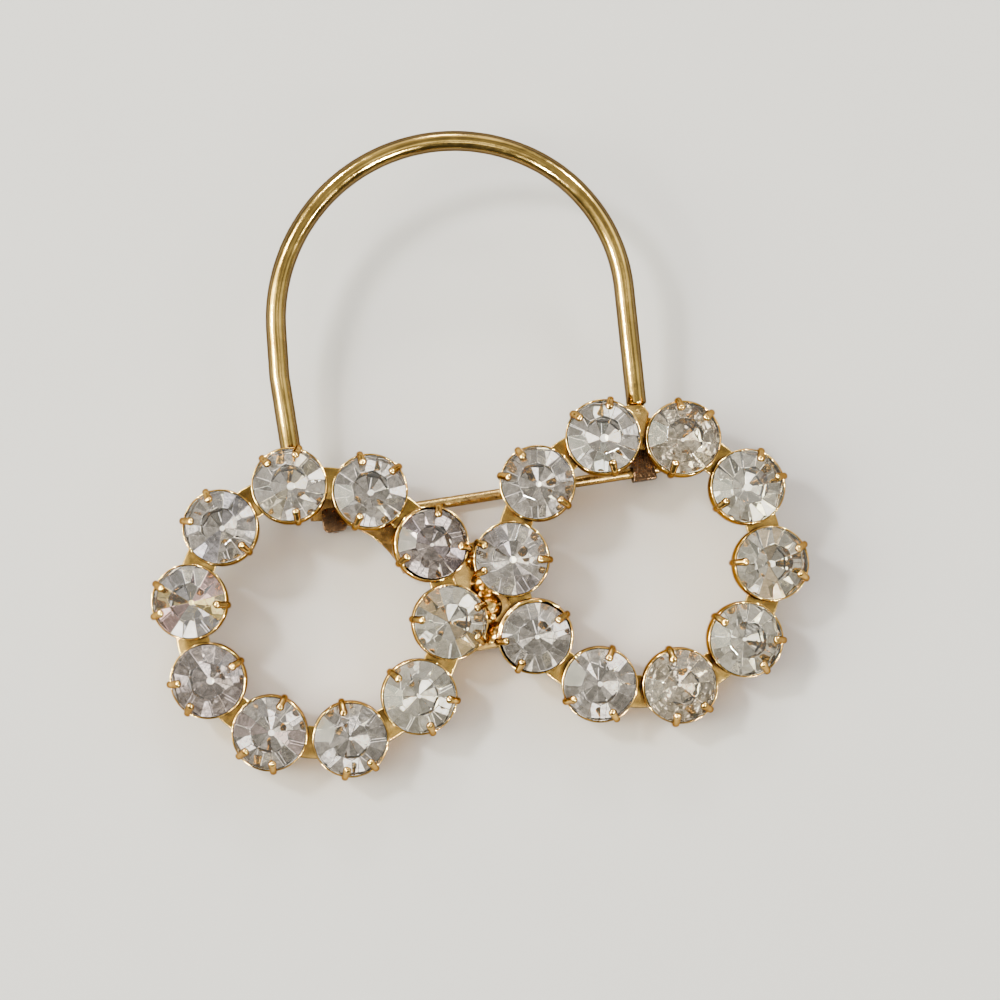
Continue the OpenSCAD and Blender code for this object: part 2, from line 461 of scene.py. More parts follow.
    def modify(self, kind: str, **settings: object) -> "Bench":
        """Adds a modifier and applies it.

        Args:
            kind: The modifier's type.
            **settings: Its settings.

        Returns:
            The workpiece.
        """
        self.hold()
        modifier = self.work.modifiers.new(kind.lower(), kind)
        for name, value in settings.items():
            setattr(modifier, name, value)
        bpy.ops.object.modifier_apply(modifier=modifier.name)
        return self

    def move(self, change: Matrix) -> "Bench":
        """Moves the workpiece by a matrix, into its mesh."""
        self.work.matrix_world = change @ self.work.matrix_world
        return self.settle()

    def smooth(self, degrees: float) -> "Bench":
        """Shades the workpiece smooth, all but its sharper edges.

        Args:
            degrees: The widest angle between two faces that are shaded as one.

        Returns:
            The workpiece.
        """
        self.hold()
        bpy.ops.object.shade_smooth_by_angle(angle=math.radians(degrees))
        return self

    def write_flat(self) -> None:
        """Writes each point's place in the flat brooch, which its finish reads."""
        self.hold()
        mesh = self.work.data
        places = mesh.attributes.new(self.FLAT, "FLOAT_VECTOR", "POINT")
        for point, row in zip(mesh.vertices, places.data, strict=True):
            row.vector = point.co

    def set_down(self, finishes: list[bpy.types.Material], slot: str, *nodes: str) -> None:
        """Finishes the piece: it goes into the pose of rest, in metres, and rides there.

        Args:
            finishes: Its materials, in the order of its faces' slots.
            slot: The record's material slot; not used.
            *nodes: The CAD nodes that it stands for.
        """
        self.write_flat()
        self.move(Matrix.Scale(MM, 4) @ LAYOUT.rest)
        for finish in finishes:
            self.work.data.materials.append(finish)
        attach(self.work, BODY)
        if nodes:
            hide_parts(*nodes)
        self.clear()
        LOG.info("%s: %d faces", self.work.name, len(self.work.data.polygons))


class Board:
    """A material's or the world's nodes, added and joined one by one."""

    def __init__(self, tree: bpy.types.NodeTree) -> None:
        """Clears a node tree for use."""
        self.tree = tree
        tree.nodes.clear()

    def add(self, kind: str, **values: object) -> bpy.types.Node:
        """Adds a node.

        Args:
            kind: The node's type.
            **values: Its settings, or the default values of its inputs, with the
                input's spaces written as underscores.

        Returns:
            The node.
        """
        node = self.tree.nodes.new(kind)
        sockets: dict[str, Reading] = {}
        for socket in node.inputs:
            sockets.setdefault(socket.name.replace(" ", "_"), socket)
        for name, value in values.items():
            if name in sockets:
                sockets[name].default_value = value
            else:
                setattr(node, name, value)
        return node

    def join(self, source: Reading, target: Reading) -> None:
        """Links an output to an input."""
        self.tree.links.new(source, target)

    def noise(self, place: Reading, scale: float, detail: float, rough: float = 0.55) -> Reading:
        """Adds a noise.

        Args:
            place: The coordinates that it reads.
            scale: How many waves it has in a unit.
            detail: How many finer octaves it has.
            rough: How strong these are.

        Returns:
            Its value.
        """
        node = self.add("ShaderNodeTexNoise", Scale=scale, Detail=detail, Roughness=rough)
        self.join(place, node.inputs["Vector"])
        return node.outputs["Fac"]

    def remap(self, value: Reading, span: Span, to: Span = (0, 1)) -> Reading:
        """Carries a value from one span to another, smoothly and held at its ends.

        Args:
            value: The value.
            span: The span that it comes from.
            to: The span that it goes to.

        Returns:
            The new value.
        """
        node = self.add(
            "ShaderNodeMapRange", interpolation_type="SMOOTHSTEP",
            From_Min=span[0], From_Max=span[1], To_Min=to[0], To_Max=to[1],
        )
        self.join(value, node.inputs["Value"])
        return node.outputs["Result"]

    def blend(self, share: Reading, first: Colour | Reading, second: Colour | Reading) -> Reading:
        """Mixes two colours.

        Args:
            share: How much of the second one shows.
            first: A colour, or the output that gives it.
            second: A colour, or the output that gives it.

        Returns:
            The mixed colour.
        """
        node = self.add("ShaderNodeMix", data_type="RGBA")
        self.join(share, node.inputs[0])
        return self.colours(node, first, second)

    def tint(self, first: Reading, second: Reading) -> Reading:
        """Multiplies two colours.

        Args:
            first: The output that gives one.
            second: The output that gives the other.

        Returns:
            Their product.
        """
        node = self.add("ShaderNodeMix", data_type="RGBA", blend_type="MULTIPLY")
        node.inputs[0].default_value = 1
        return self.colours(node, first, second)

    def colours(
        self, node: bpy.types.Node, first: Colour | Reading, second: Colour | Reading
    ) -> Reading:
        """Feeds a mixing node its two colours.

        Args:
            node: The node.
            first: A colour, or the output that gives it.
            second: A colour, or the output that gives it.

        Returns:
            The mixed colour.
        """
        sockets = [s for s in node.inputs if s.type == "RGBA"]
        for socket, colour in zip(sockets, (first, second), strict=True):
            if isinstance(colour, Reading):
                self.join(colour, socket)
            else:
                socket.default_value = (*colour, 1)
        return next(s for s in node.outputs if s.type == "RGBA")

    def bump(self, height: Reading, depth: float, under: Reading | None = None) -> Reading:
        """Makes a normal from a height.

        Args:
            height: The height.
            depth: How deep the relief is, in millimetres.
            under: The normal that it lies on, or none.

        Returns:
            The normal.
        """
        node = self.add("ShaderNodeBump", Strength=1.0, Distance=depth * MM)
        self.join(height, node.inputs["Height"])
        if under is not None:
            self.join(under, node.inputs["Normal"])
        return node.outputs["Normal"]

    def millimetres(self) -> Reading:
        """Reads the piece's own coordinates.

        Returns:
            The coordinates, in millimetres.
        """
        place = self.add("ShaderNodeTexCoord")
        mapping = self.add("ShaderNodeMapping", Scale=(1 / MM, 1 / MM, 1 / MM))
        self.join(place.outputs["Object"], mapping.inputs["Vector"])
        return mapping.outputs["Vector"]

    def principled(self, **values: object) -> bpy.types.Node:
        """Adds the surface shader, joined to the output.

        Args:
            **values: Its plain values.

        Returns:
            The shader.
        """
        shader = self.add("ShaderNodeBsdfPrincipled", **values)
        output = self.add("ShaderNodeOutputMaterial")
        self.join(shader.outputs["BSDF"], output.inputs["Surface"])
        return shader


def new_material(name: str) -> tuple[bpy.types.Material, Board]:
    """Starts a material.

    Args:
        name: Its name.

    Returns:
        The material and the board of its nodes.
    """
    made = bpy.data.materials.new(name)
    made.use_nodes = True
    return made, Board(made.node_tree)


@dataclass(frozen=True)
class GoldFinish:
    """Yellow gold plate: bright where it was rubbed, brown in worn spots and painted shade in low
    places.

    Patches, ripples and pits are in waves a millimetre, spots and smears in times the patches,
    and depths in millimetres. Shine is the span of the roughness. The low places get painted
    shade with some grime, which fades out over a span of heights in the flat brooch. The edges
    get a painted dark reflection: the metal's colour darkens where it is seen edge on, by a
    share that comes in over a span of facing away.
    """

    name: str
    bright: Colour
    dull: Colour
    worn: Colour = (0.36, 0.17, 0.06)
    patches: float = 0.7
    patch_span: Span = (0.35, 0.65)
    spots: float = 4.0
    wear_from: float = 0.68
    wear_edge: float = 0.06
    wear_share: float = 0.85
    shine: Span = (0.12, 0.3)
    shine_span: Span = (0.3, 0.7)
    smears: float = 3.0
    ripples: float = 1.6
    ripple_depth: float = 0.006
    pits: float = 14.0
    pit_depth: float = 0.0008
    line_stretch: Point = (0.05, 7, 7)
    line_depth: float = 0.0
    grime: float = 0.0
    grime_z: Span = (0.6, 1.8)
    grime_patches: float = 1.3
    grime_span: Span = (0.3, 0.6)
    grime_least: float = 0.35
    painted_dark_edges: float = 0.0
    painted_dark_edges_from: Span = (0.24, 0.5)
    rim: Colour = (1.0, 1.0, 1.0)

    def build(self) -> bpy.types.Material:
        """Builds the material.

        Returns:
            The gold, with its patches, worn spots, painted shade and grime, painted dark edges,
            roughness and fine relief.
        """
        made, board = new_material(self.name)
        place = board.millimetres()
        patch = board.noise(place, self.patches, detail=4)
        colour = board.blend(board.remap(patch, self.patch_span), self.bright, self.dull)
        spots = board.noise(place, self.patches * self.spots, detail=6, rough=0.7)
        wear = (self.wear_from, self.wear_from + self.wear_edge)
        worn = board.remap(spots, wear, (0, self.wear_share))
        colour = board.blend(worn, colour, self.worn)
        # Painted shade, with some grime: the colour darkens towards the low places.
        if self.grime:
            colour = board.blend(self.low_places(board, place), colour, self.worn)
        # Painted dark reflection: the colour darkens where the metal is seen edge on.
        if self.painted_dark_edges:
            facing = board.add("ShaderNodeLayerWeight", Blend=0.5).outputs["Facing"]
            edge = board.remap(facing, self.painted_dark_edges_from, (0, self.painted_dark_edges))
            colour = board.blend(edge, colour, self.worn)
        shader = board.principled(Metallic=1.0, Specular_Tint=(*self.rim, 1))
        board.join(colour, shader.inputs["Base Color"])
        smears = board.noise(place, self.patches * self.smears, detail=5, rough=0.65)
        rough = board.remap(smears, self.shine_span, self.shine)
        board.join(rough, shader.inputs["Roughness"])
        normal = board.bump(board.noise(place, self.ripples, detail=2), self.ripple_depth)
        pits = board.noise(place, self.pits, detail=3, rough=0.7)
        normal = board.bump(pits, self.pit_depth, normal)
        if self.line_depth:
            normal = board.bump(self.drawn_lines(board), self.line_depth, normal)
        board.join(normal, shader.inputs["Normal"])
        return made

    def low_places(self, board: Board, place: Reading) -> Reading:
        """How much painted shade, with some grime, darkens the colour: more in the low places,
        and unevenly.

        Args:
            board: The material's nodes.
            place: The piece's coordinates in millimetres.

        Returns:
            The share of the painted shade and grime.
        """
        flat = board.add("ShaderNodeAttribute", attribute_name=Bench.FLAT)
        split = board.add("ShaderNodeSeparateXYZ")
        board.join(flat.outputs["Vector"], split.inputs["Vector"])
        low = board.remap(split.outputs["Z"], self.grime_z, (self.grime, 0))
        patch = board.noise(place, self.grime_patches, detail=4, rough=0.6)
        uneven = board.remap(patch, self.grime_span, (self.grime_least, 1))
        both = board.add("ShaderNodeMath", operation="MULTIPLY")
        board.join(low, both.inputs[0])
        board.join(uneven, both.inputs[1])
        return both.outputs["Value"]

    def drawn_lines(self, board: Board) -> Reading:
        """Lines left along the wire by the plate that it was drawn through.

        Args:
            board: The material's nodes.

        Returns:
            Their height.
        """
        run = board.add("ShaderNodeAttribute", attribute_name=ArchWire.RUN)
        stretch = board.add("ShaderNodeMapping", Scale=self.line_stretch)
        board.join(run.outputs["Vector"], stretch.inputs["Vector"])
        return board.noise(stretch.outputs["Vector"], 1, detail=4, rough=0.65)


@dataclass(frozen=True)
class CrystalFinish:
    """Clear cut glass with a foil behind it: one material for the glass, one for the foil.

    Smears, mottling and crackle are in waves a millimetre, haze is a span of roughness, and
    clear is how much light the glass lets through.
    """

    FIRE = "fire"

    tone: StoneTone
    glass: Colour
    foil: Colour
    foil_dark: Colour
    haze: Span = (0.0, 0.03)
    crackle_depth: float = 0.001
    clear: float = 0.975
    ior: float = 1.55
    smears: float = 1.2
    smear_span: Span = (0.4, 0.75)
    smear_tint: float = 0.93
    mottling: float = 1.5
    mottle_span: Span = (0.4, 0.62)
    foil_smears: float = 2.2
    foil_span: Span = (0.35, 0.7)
    foil_haze: Span = (0.0, 0.06)
    crackle: float = 2.4

    def build(self) -> list[bpy.types.Material]:
        """Builds the glass of the crown, and the foil of the pavilion."""
        return [self.crown(), self.backing()]

    def crown(self) -> bpy.types.Material:
        """Builds the glass: nearly clear, with faint smears where it was handled.

        Returns:
            The glass.
        """
        made, board = new_material(f"glass_{self.tone.value}")
        place = board.millimetres()
        shader = board.principled(Metallic=0.0, IOR=self.ior, Transmission_Weight=self.clear)
        smears = board.noise(place, self.smears, detail=5, rough=0.7)
        smeared = tuple(c * self.smear_tint for c in self.glass)
        board.join(board.blend(smears, self.glass, smeared), shader.inputs["Base Color"])
        board.join(board.remap(smears, self.smear_span, self.haze), shader.inputs["Roughness"])
        return made

    def backing(self) -> bpy.types.Material:
        """Builds the foil: mirror bright, with grey mottling where it has aged.

        Returns:
            The foil.
        """
        made, board = new_material(f"foil_{self.tone.value}")
        place = board.millimetres()
        shader = board.principled(Metallic=1.0)
        mottle = board.noise(place, self.mottling, detail=6, rough=0.7)
        colour = board.blend(board.remap(mottle, self.mottle_span), self.foil, self.foil_dark)
        fire = board.add("ShaderNodeAttribute", attribute_name=self.FIRE)
        board.join(board.tint(colour, fire.outputs["Color"]), shader.inputs["Base Color"])
        smears = board.noise(place, self.foil_smears, detail=5, rough=0.7)
        rough = board.remap(smears, self.foil_span, self.foil_haze)
        board.join(rough, shader.inputs["Roughness"])
        crackle = board.add("ShaderNodeTexVoronoi", Scale=self.crackle, feature="SMOOTH_F1")
        board.join(place, crackle.inputs["Vector"])
        normal = board.bump(crackle.outputs["Distance"], self.crackle_depth)
        board.join(normal, shader.inputs["Normal"])
        return made


@dataclass(frozen=True)
class Finishes:
    """Every finish of the brooch, each built once."""

    plate: bpy.types.Material
    cup: bpy.types.Material
    wire: bpy.types.Material
    solder: bpy.types.Material
    finding: bpy.types.Material
    pad: bpy.types.Material
    tarnished: bpy.types.Material
    crystals: dict[StoneTone, list[bpy.types.Material]]

    @classmethod
    def build(cls) -> "Finishes":
        """Builds all the materials.

        Returns:
            The finishes.
        """
        crystals = [
            CrystalFinish(
                StoneTone.CLEAR, (0.965, 0.95, 0.92), (0.945, 0.92, 0.88), (0.79, 0.76, 0.71)
            ),
            CrystalFinish(
                StoneTone.STRAW, (0.97, 0.96, 0.91), (0.96, 0.935, 0.875), (0.82, 0.79, 0.71)
            ),
            CrystalFinish(
                StoneTone.SMOKY, (0.945, 0.92, 0.895), (0.83, 0.78, 0.75), (0.51, 0.46, 0.43),
                crackle_depth=0.002,
            ),
            CrystalFinish(
                StoneTone.CLOUDY, (0.965, 0.935, 0.87), (0.95, 0.905, 0.82), (0.68, 0.62, 0.52),
                haze=(0.02, 0.1), crackle_depth=0.01,
            ),
            CrystalFinish(
                StoneTone.DIM, (0.96, 0.945, 0.91), (0.89, 0.86, 0.82), (0.66, 0.63, 0.59)
            ),
        ]
        # Several finishes below get painted shade in their low places and painted dark edges.
        return cls(
            plate=GoldFinish(
                "gold_plate", bright=(0.42, 0.27, 0.068), dull=(0.25, 0.15, 0.038),
                shine=(0.15, 0.27), wear_from=0.7,
            ).build(),
            cup=GoldFinish(
                "gold_cup", bright=(0.7, 0.45, 0.125), dull=(0.36, 0.22, 0.06),
                worn=(0.2, 0.1, 0.04), shine=(0.06, 0.15), patches=1.1, wear_from=0.7,
                grime=0.8, painted_dark_edges=0.75, rim=(0.5, 0.37, 0.25),
            ).build(),
            wire=GoldFinish(
                "gold_wire", bright=(0.56, 0.375, 0.1), dull=(0.36, 0.235, 0.06),
                worn=(0.108, 0.078, 0.048), shine=(0.08, 0.16), patches=0.4, wear_from=0.7,
                line_depth=0.007, grime=0.4, grime_z=(1.25, 1.75), painted_dark_edges=0.9,
                painted_dark_edges_from=(0.14, 0.42), rim=(0.35, 0.29, 0.23),
            ).build(),
            solder=GoldFinish(
                "gold_solder", bright=(0.72, 0.49, 0.15), dull=(0.42, 0.25, 0.065),
                worn=(0.3, 0.16, 0.045), shine=(0.12, 0.24), wear_from=0.8, grime=0.4,
                painted_dark_edges=0.4,
            ).build(),
            finding=GoldFinish(
                "gold_finding", bright=(0.5, 0.34, 0.11), dull=(0.3, 0.19, 0.065),
                worn=(0.2, 0.115, 0.045), shine=(0.18, 0.34), wear_from=0.6, painted_dark_edges=0.7,
                rim=(0.5, 0.38, 0.26),
            ).build(),
            # The pad's gold is painted dark: painted shadow, for where it lies behind the rings.
            pad=GoldFinish(
                "gold_pad", bright=(0.24, 0.135, 0.035), dull=(0.09, 0.045, 0.013),
                worn=(0.06, 0.03, 0.012), patches=0.9, shine=(0.16, 0.3), wear_from=0.62,
            ).build(),
            # Nearly black: tarnish, darkened further by painted shadow.
            tarnished=GoldFinish(
                "gold_tarnished", bright=(0.088, 0.048, 0.022), dull=(0.04, 0.022, 0.011),
                worn=(0.04, 0.02, 0.012), patches=1.2, shine=(0.2, 0.38), wear_from=0.6,
            ).build(),
            crystals={crystal.tone: crystal.build() for crystal in crystals},
        )


@dataclass
class RingPlate:
    """The flat ring that ten cups stand on."""

    side: Side
    edge_round: float = 0.09
    points: int = 144
    crease: float = 40.0

    def build(self) -> Bench:
        """Shapes the plate from a disc: its hole is inset, its edges rounded.

        Returns:
            The plate.
        """
        centre = (LAYOUT.ring_x(self.side), 0, 0)
        plate = Bench.disc(
            f"plate_{self.side.label}", LAYOUT.plate_out_r, self.points, centre, filled=True
        )
        plate.pick_all()
        bpy.ops.mesh.inset(thickness=LAYOUT.plate_out_r - LAYOUT.plate_in_r, depth=0)
        bpy.ops.mesh.delete(type="FACE")
        plate.pick_all()
        plate.extrude((0, 0, LAYOUT.plate_t))
        plate.merge()

        def rim(a: Vector, b: Vector) -> bool:
            """Whether an edge runs round the plate."""
            reach = [(p - Vector(centre)).xy.length for p in (a, b)]
            return abs(reach[0] - reach[1]) < NEAR and abs(a.z - b.z) < NEAR

        plate.pick(Pick.EDGES, rim)
        plate.bevel(self.edge_round, segments=3)
        plate.face_out()
        return plate.smooth(self.crease)

    def dress(self, finishes: Finishes) -> None:
        """Builds the plate and gives it its finish."""
        self.build().set_down([finishes.plate], "gold_plate", "frame")


@dataclass
class Cup:
    """One stamped cup, and the three prongs that are bent over its stone.

    Sink is how far the cup's foot goes into the plate. Its wall bends at two heights, and is
    thinner at the rim. The lip is rolled through a turn in degrees, and tapers at its ends.
    """

    base_r: float = 2.05
    wall: float = 0.26
    rim: float = 0.12
    sink: float = 0.2
    bowl_z: float = 0.5
    upright_z: float = 1.25
    points: int = 64
    crease: float = 50.0
    prong_w: float = 0.52
    prong_t: float = 0.4
    prong_points: int = 12
    lip_r: float = 0.17
    lip_turn: float = 120.0
    lip_steps: int = 12
    lip_ends: tuple[float, ...] = (0.3, 0.6, 0.85)
    lip_grip: float = 1.2

    def shell(self) -> Bench:
        """Shapes the cup from a circle, drawn up its outside, over its rim and down inside.

        Returns:
            The cup, with its foot on the plate.
        """
        rim_r = LAYOUT.cup_r
        inner_r = rim_r - self.rim
        # Reach from the cup's axis, and height
        stations = [
            (self.base_r, 0.04),
            (self.base_r + 0.3, 0.2),
            (rim_r - 0.15, self.bowl_z),
            (rim_r - 0.04, 0.85),
            (rim_r, self.upright_z),
            (rim_r, LAYOUT.cup_h - 0.04),
            (rim_r - 0.035, LAYOUT.cup_h),
            (inner_r + 0.03, LAYOUT.cup_h),
            (inner_r, LAYOUT.cup_h - 0.035),
            (inner_r, self.upright_z + 0.4),
            (rim_r - self.wall, self.upright_z),
            (rim_r - 0.15 - self.wall, self.bowl_z + 0.1),
            (self.base_r - self.wall, self.wall),
        ]
        cup = Bench.disc("cup", self.base_r, self.points, (0, 0, -self.sink), filled=False)
        cup.pick_all(Pick.EDGES)
        reach, height = self.base_r, -self.sink
        for next_reach, next_height in stations:
            cup.extrude((0, 0, next_height - height), next_reach / reach)
            reach, height = next_reach, next_height
        bpy.ops.mesh.edge_face_add()
        cup.pick(Pick.EDGES, lambda a, b: max(a.z, b.z) < HAIR - self.sink)
        bpy.ops.mesh.edge_face_add()
        cup.face_out()
        return cup.smooth(self.crease)

    def prong(self) -> Bench:
        """Shapes one prong from a small oval, drawn up the cup, over its rim and down the crown.

        Returns:
            The prong, over the cup's +X side.
        """
        girdle_z = LAYOUT.girdle_z
        # Reach from the cup's axis, height, lean inwards from upright in degrees, thickness
        path = (
            (2.73, 1.2, -4, 0.9),
            (2.78, 1.75, -4, 1.0),
            (2.81, 2.25, 0, 1.0),
            (2.8, girdle_z + 0.06, 12, 1.0),
            (2.7, girdle_z + 0.28, 35, 1.0),
            (2.49, girdle_z + 0.47, 50, 1.0),
            (2.32, girdle_z + 0.61, 55, 1.04),
            (2.2, girdle_z + 0.7, 56, 1.2),
            (2.09, girdle_z + 0.77, 56, 1.24),
            (2.0, girdle_z + 0.83, 56, 1.13),
            (1.94, girdle_z + 0.86, 56, 0.9),
            (1.9, girdle_z + 0.88, 56, 0.58),
            (1.88, girdle_z + 0.89, 56, 0.22),
        )
        reach, height, lean, swell = path[0]
        # A disc 1 mm wide, pressed to the prong's oval
        prong = Bench.disc("prong", 0.5, self.prong_points, (0, 0, 0), filled=True)
        prong.work.scale = (self.prong_t * swell, self.prong_w * swell, 1)
        prong.settle()
        prong.move(Matrix.Translation((reach, 0, height)))
        prong.pick_all()
        for next_reach, next_height, next_lean, next_swell in path[1:]:
            step = (next_reach - reach, 0, next_height - height)
            prong.extrude(step)
            centre = (next_reach, 0, next_height)
            turn = math.radians(next_lean - lean)
            bpy.ops.transform.rotate(value=turn, orient_axis="Y", center_override=centre)
            ratio = next_swell / swell
            prong.resize((ratio, ratio, ratio), centre)
            reach, height, lean, swell = next_reach, next_height, next_lean, next_swell
        prong.face_out()
        prong.modify("SUBSURF", levels=1, render_levels=1)
        return prong.smooth(ALL_ROUND)

    def lip(self) -> Bench:
        """Shapes the lip that is rolled over the rim where a stone is small for its cup.

        Returns:
            The lip, a crescent over the cup's -X side.
        """
        start = Vector((LAYOUT.cup_r - self.lip_r, 0, LAYOUT.girdle_z))
        lip = Bench.disc("lip", self.lip_r, self.prong_points, (0, 0, 0), filled=True)
        lip.move(Matrix.Translation(start) @ turned(90, "X"))
        lip.pick_all()
        lip.spin(self.lip_steps, self.lip_turn, about=(0, 0, 0), axis=(0, 0, 1))
        lip.hold()
        middle = sum((v.co for v in lip.work.data.vertices), Vector())
        lip.move(Matrix.Rotation(math.pi - math.atan2(middle.y, middle.x), 4, "Z"))
        for k, share in enumerate(self.lip_ends):
            for ring in (k, self.lip_steps - k):
                turn = 180 + self.lip_turn * (ring / self.lip_steps - 0.5)
                centre = turned(turn, "Z") @ start
                grip = self.lip_r * self.lip_grip
                lip.pick(Pick.POINTS, lambda p, _, c=centre, g=grip: (p - c).length < g)
                lip.resize((share, share, share), centre)
        lip.face_out()
        return lip.smooth(ALL_ROUND)


@dataclass
class ProngTurns:
    """Where each cup's two outer prongs stand, in degrees from straight outwards.

    Each row is towards the stone before it, then towards the stone after it. A third prong
    points at the ring's centre.
    """

    left: tuple[tuple[int, int], ...] = (
        (32, -28), (38, -27), (48, -39), (33, -27), (35, -29),
        (28, -22), (28, -31), (26, -26), (27, -24), (31, -27),
    )
    right: tuple[tuple[int, int], ...] = (
        (36, -28), (27, -29), (34, -19), (31, -22), (36, -19),
        (35, -24), (45, -45), (28, -27), (25, -25), (26, -22),
    )

    def of(self, side: Side, number: int) -> tuple[int, ...]:
        """The three prongs' directions in one cup, in degrees."""
        rows = self.left if side is Side.LEFT else self.right
        return (*rows[number - 1], 180)


@dataclass
class Settings:
    """All the cups of both rings, each with its prongs.

    Loose and askew are the most that a prong leans and twists from its place, in degrees.
    """

    cup: Cup = field(default_factory=Cup)
    turns: ProngTurns = field(default_factory=ProngTurns)
    loose: float = 2.5
    askew: float = 7.0
    seed: int = 7

    def bent(self, prong: Bench, turn: float, chance: random.Random) -> Bench:
        """Copies the prong to its place on the rim, bent a little by hand.

        Args:
            prong: The prong to copy.
            turn: Its direction, in degrees.
            chance: The source of the small differences.

        Returns:
            The prong, in the cup's own axes.
        """
        rim = Matrix.Translation((LAYOUT.cup_r, 0, LAYOUT.girdle_z))
        bend = turned(chance.uniform(-self.loose, self.loose), "Y")
        twist = turned(chance.uniform(-self.askew, self.askew), "Z")
        place = turned(turn, "Z") @ rim @ twist @ bend @ rim.inverted()
        return prong.copy("one_prong").move(place)

    def dress(self, finishes: Finishes) -> None:
        """Builds one cup and one prong, and copies them to every stone's place.

        Args:
            finishes: The brooch's finishes.
        """
        shell, prong, lip = self.cup.shell(), self.cup.prong(), self.cup.lip()
        chance = random.Random(self.seed)
        for side, number in LAYOUT.numbered():
            key = f"{side.label}_{number}"
            made = shell.copy(f"cup_{key}")
            prongs = [self.bent(prong, turn, chance) for turn in self.turns.of(side, number)]
            made.take_in(*prongs)
            if key in LAYOUT.small:
                _, towards = LAYOUT.small[key]
                made.take_in(lip.copy("one_lip").move(turned(towards, "Z")))
            made.move(LAYOUT.at_stone(side, number))
            made.set_down([finishes.cup], "gold_plate", "frame")
        for template in (shell, prong, lip):
            template.drop()


@dataclass
class ArchWire:
    """The bent round wire that spectacles hang from.

    Its two bends end at an angle, and run on into straight legs. The left leg has a kink.
    """

    RUN = "run"

    left_end: float = 175.0
    right_end: float = -3.0
    left_kink_y: float = 17.2
    left_foot_y: float = 11.7
    right_foot_y: float = 11.2
    points: int = 32
    steps: int = 64
    end_round: float = 0.2
    crease: float = 60.0

    def bend_centre(self, right: bool) -> Vector:
        """The centre of one bend.

        Args:
            right: Whether it is the right bend.

        Returns:
            The centre.
        """
        apart = LAYOUT.arch_left_r - LAYOUT.arch_right_r if right else 0
        meet = math.radians(LAYOUT.arch_meet)
        return Vector((
            LAYOUT.arch_x + apart * math.cos(meet),
            LAYOUT.arch_y + apart * math.sin(meet),
            LAYOUT.wire_z,
        ))

    def line(self) -> list[Vector]:
        """The wire's middle line.

        Returns:
            Points from the right foot round to the left one.
        """
        right, left = self.bend_centre(True), self.bend_centre(False)
        line = []

        def arc(centre: Vector, radius: float, start: float, end: float, steps: int) -> None:
            """Adds points along a bend.

            Args:
                centre: The bend's centre.
                radius: Its radius.
                start: Its first angle, in degrees.
                end: Its last angle, in degrees.
                steps: The number of steps between them.
            """
            for k in range(steps + 1):
                turn = math.radians(start + (end - start) * k / steps)
                line.append(centre + radius * Vector((math.cos(turn), math.sin(turn), 0)))

        arc(right, LAYOUT.arch_right_r, self.right_end, LAYOUT.arch_meet, self.steps // 2)
        line.pop()
        arc(left, LAYOUT.arch_left_r, LAYOUT.arch_meet, self.left_end, self.steps)
        top, end = line[0], line[-1]
        lean = math.tan(math.radians(-self.right_end))
        foot = Vector((top.x - (top.y - self.right_foot_y) * lean, self.right_foot_y, top.z))
        lean = math.tan(math.radians(180 - self.left_end))
        kink = Vector((end.x - (end.y - self.left_kink_y) * lean, self.left_kink_y, end.z))
        return [foot, *line, kink, Vector((kink.x, self.left_foot_y, kink.z))]

    def build(self) -> Bench:
        """Draws a circle along the wire's line, and rounds its two ends.

        Returns:
            The wire, with each point's run along it in an attribute.
        """
        line, radius = self.line(), LAYOUT.wire_d / 2
        wire = Bench.disc("arch_wire", radius, self.points, (0, 0, 0), filled=True)
        heading = (line[1] - line[0]).normalized()
        stand = heading.to_track_quat("Z", "Y").to_matrix().to_4x4()
        wire.move(Matrix.Translation(line[0]) @ stand)
        wire.pick_all()
        for k in range(1, len(line)):
            wire.extrude(line[k] - line[k - 1])
            ahead = (line[min(k + 1, len(line) - 1)] - line[k - 1]).normalized()
            turn = heading.xy.angle_signed(ahead.xy)
            bpy.ops.transform.rotate(
                value=turn, orient_axis="Z", center_override=tuple(line[k])
            )
            heading = ahead

        def at_end(a: Vector, b: Vector) -> bool:
            """Whether an edge runs round one end of the wire."""
            return any(
                all(abs((point - end).length - radius) < NEAR for point in (a, b))
                for end in (line[0], line[-1])
            )

        wire.pick(Pick.EDGES, at_end)
        wire.bevel(self.end_round, segments=3)
        wire.face_out()
        self.write_run(wire, line)
        return wire.smooth(self.crease)

    def write_run(self, wire: Bench, line: list[Vector]) -> None:
        """Writes each point's run along the wire and its place in the wire's section.

        Args:
            wire: The wire, flat and in millimetres.
            line: Its middle line.
        """
        wire.hold()
        lengths = [0.0]
        for a, b in zip(line, line[1:]):
            lengths.append(lengths[-1] + (b - a).length)
        mesh = wire.work.data
        run = mesh.attributes.new(self.RUN, "FLOAT_VECTOR", "POINT")
        for point, row in zip(mesh.vertices, run.data, strict=True):
            k = min(range(len(line)), key=lambda i: (point.co - line[i]).length_squared)
            a, b = line[max(k - 1, 0)], line[min(k + 1, len(line) - 1)]
            along = (b - a).normalized()
            away = point.co - line[k]
            across = away - along * away.dot(along)
            side = across.dot(along.cross(Vector((0, 0, 1))))
            row.vector = (lengths[k] + away.dot(along), side, across.z)

    def dress(self, finishes: Finishes) -> None:
        """Builds the wire and gives it its finish."""
        self.build().set_down([finishes.wire], "gold_plate", "frame")


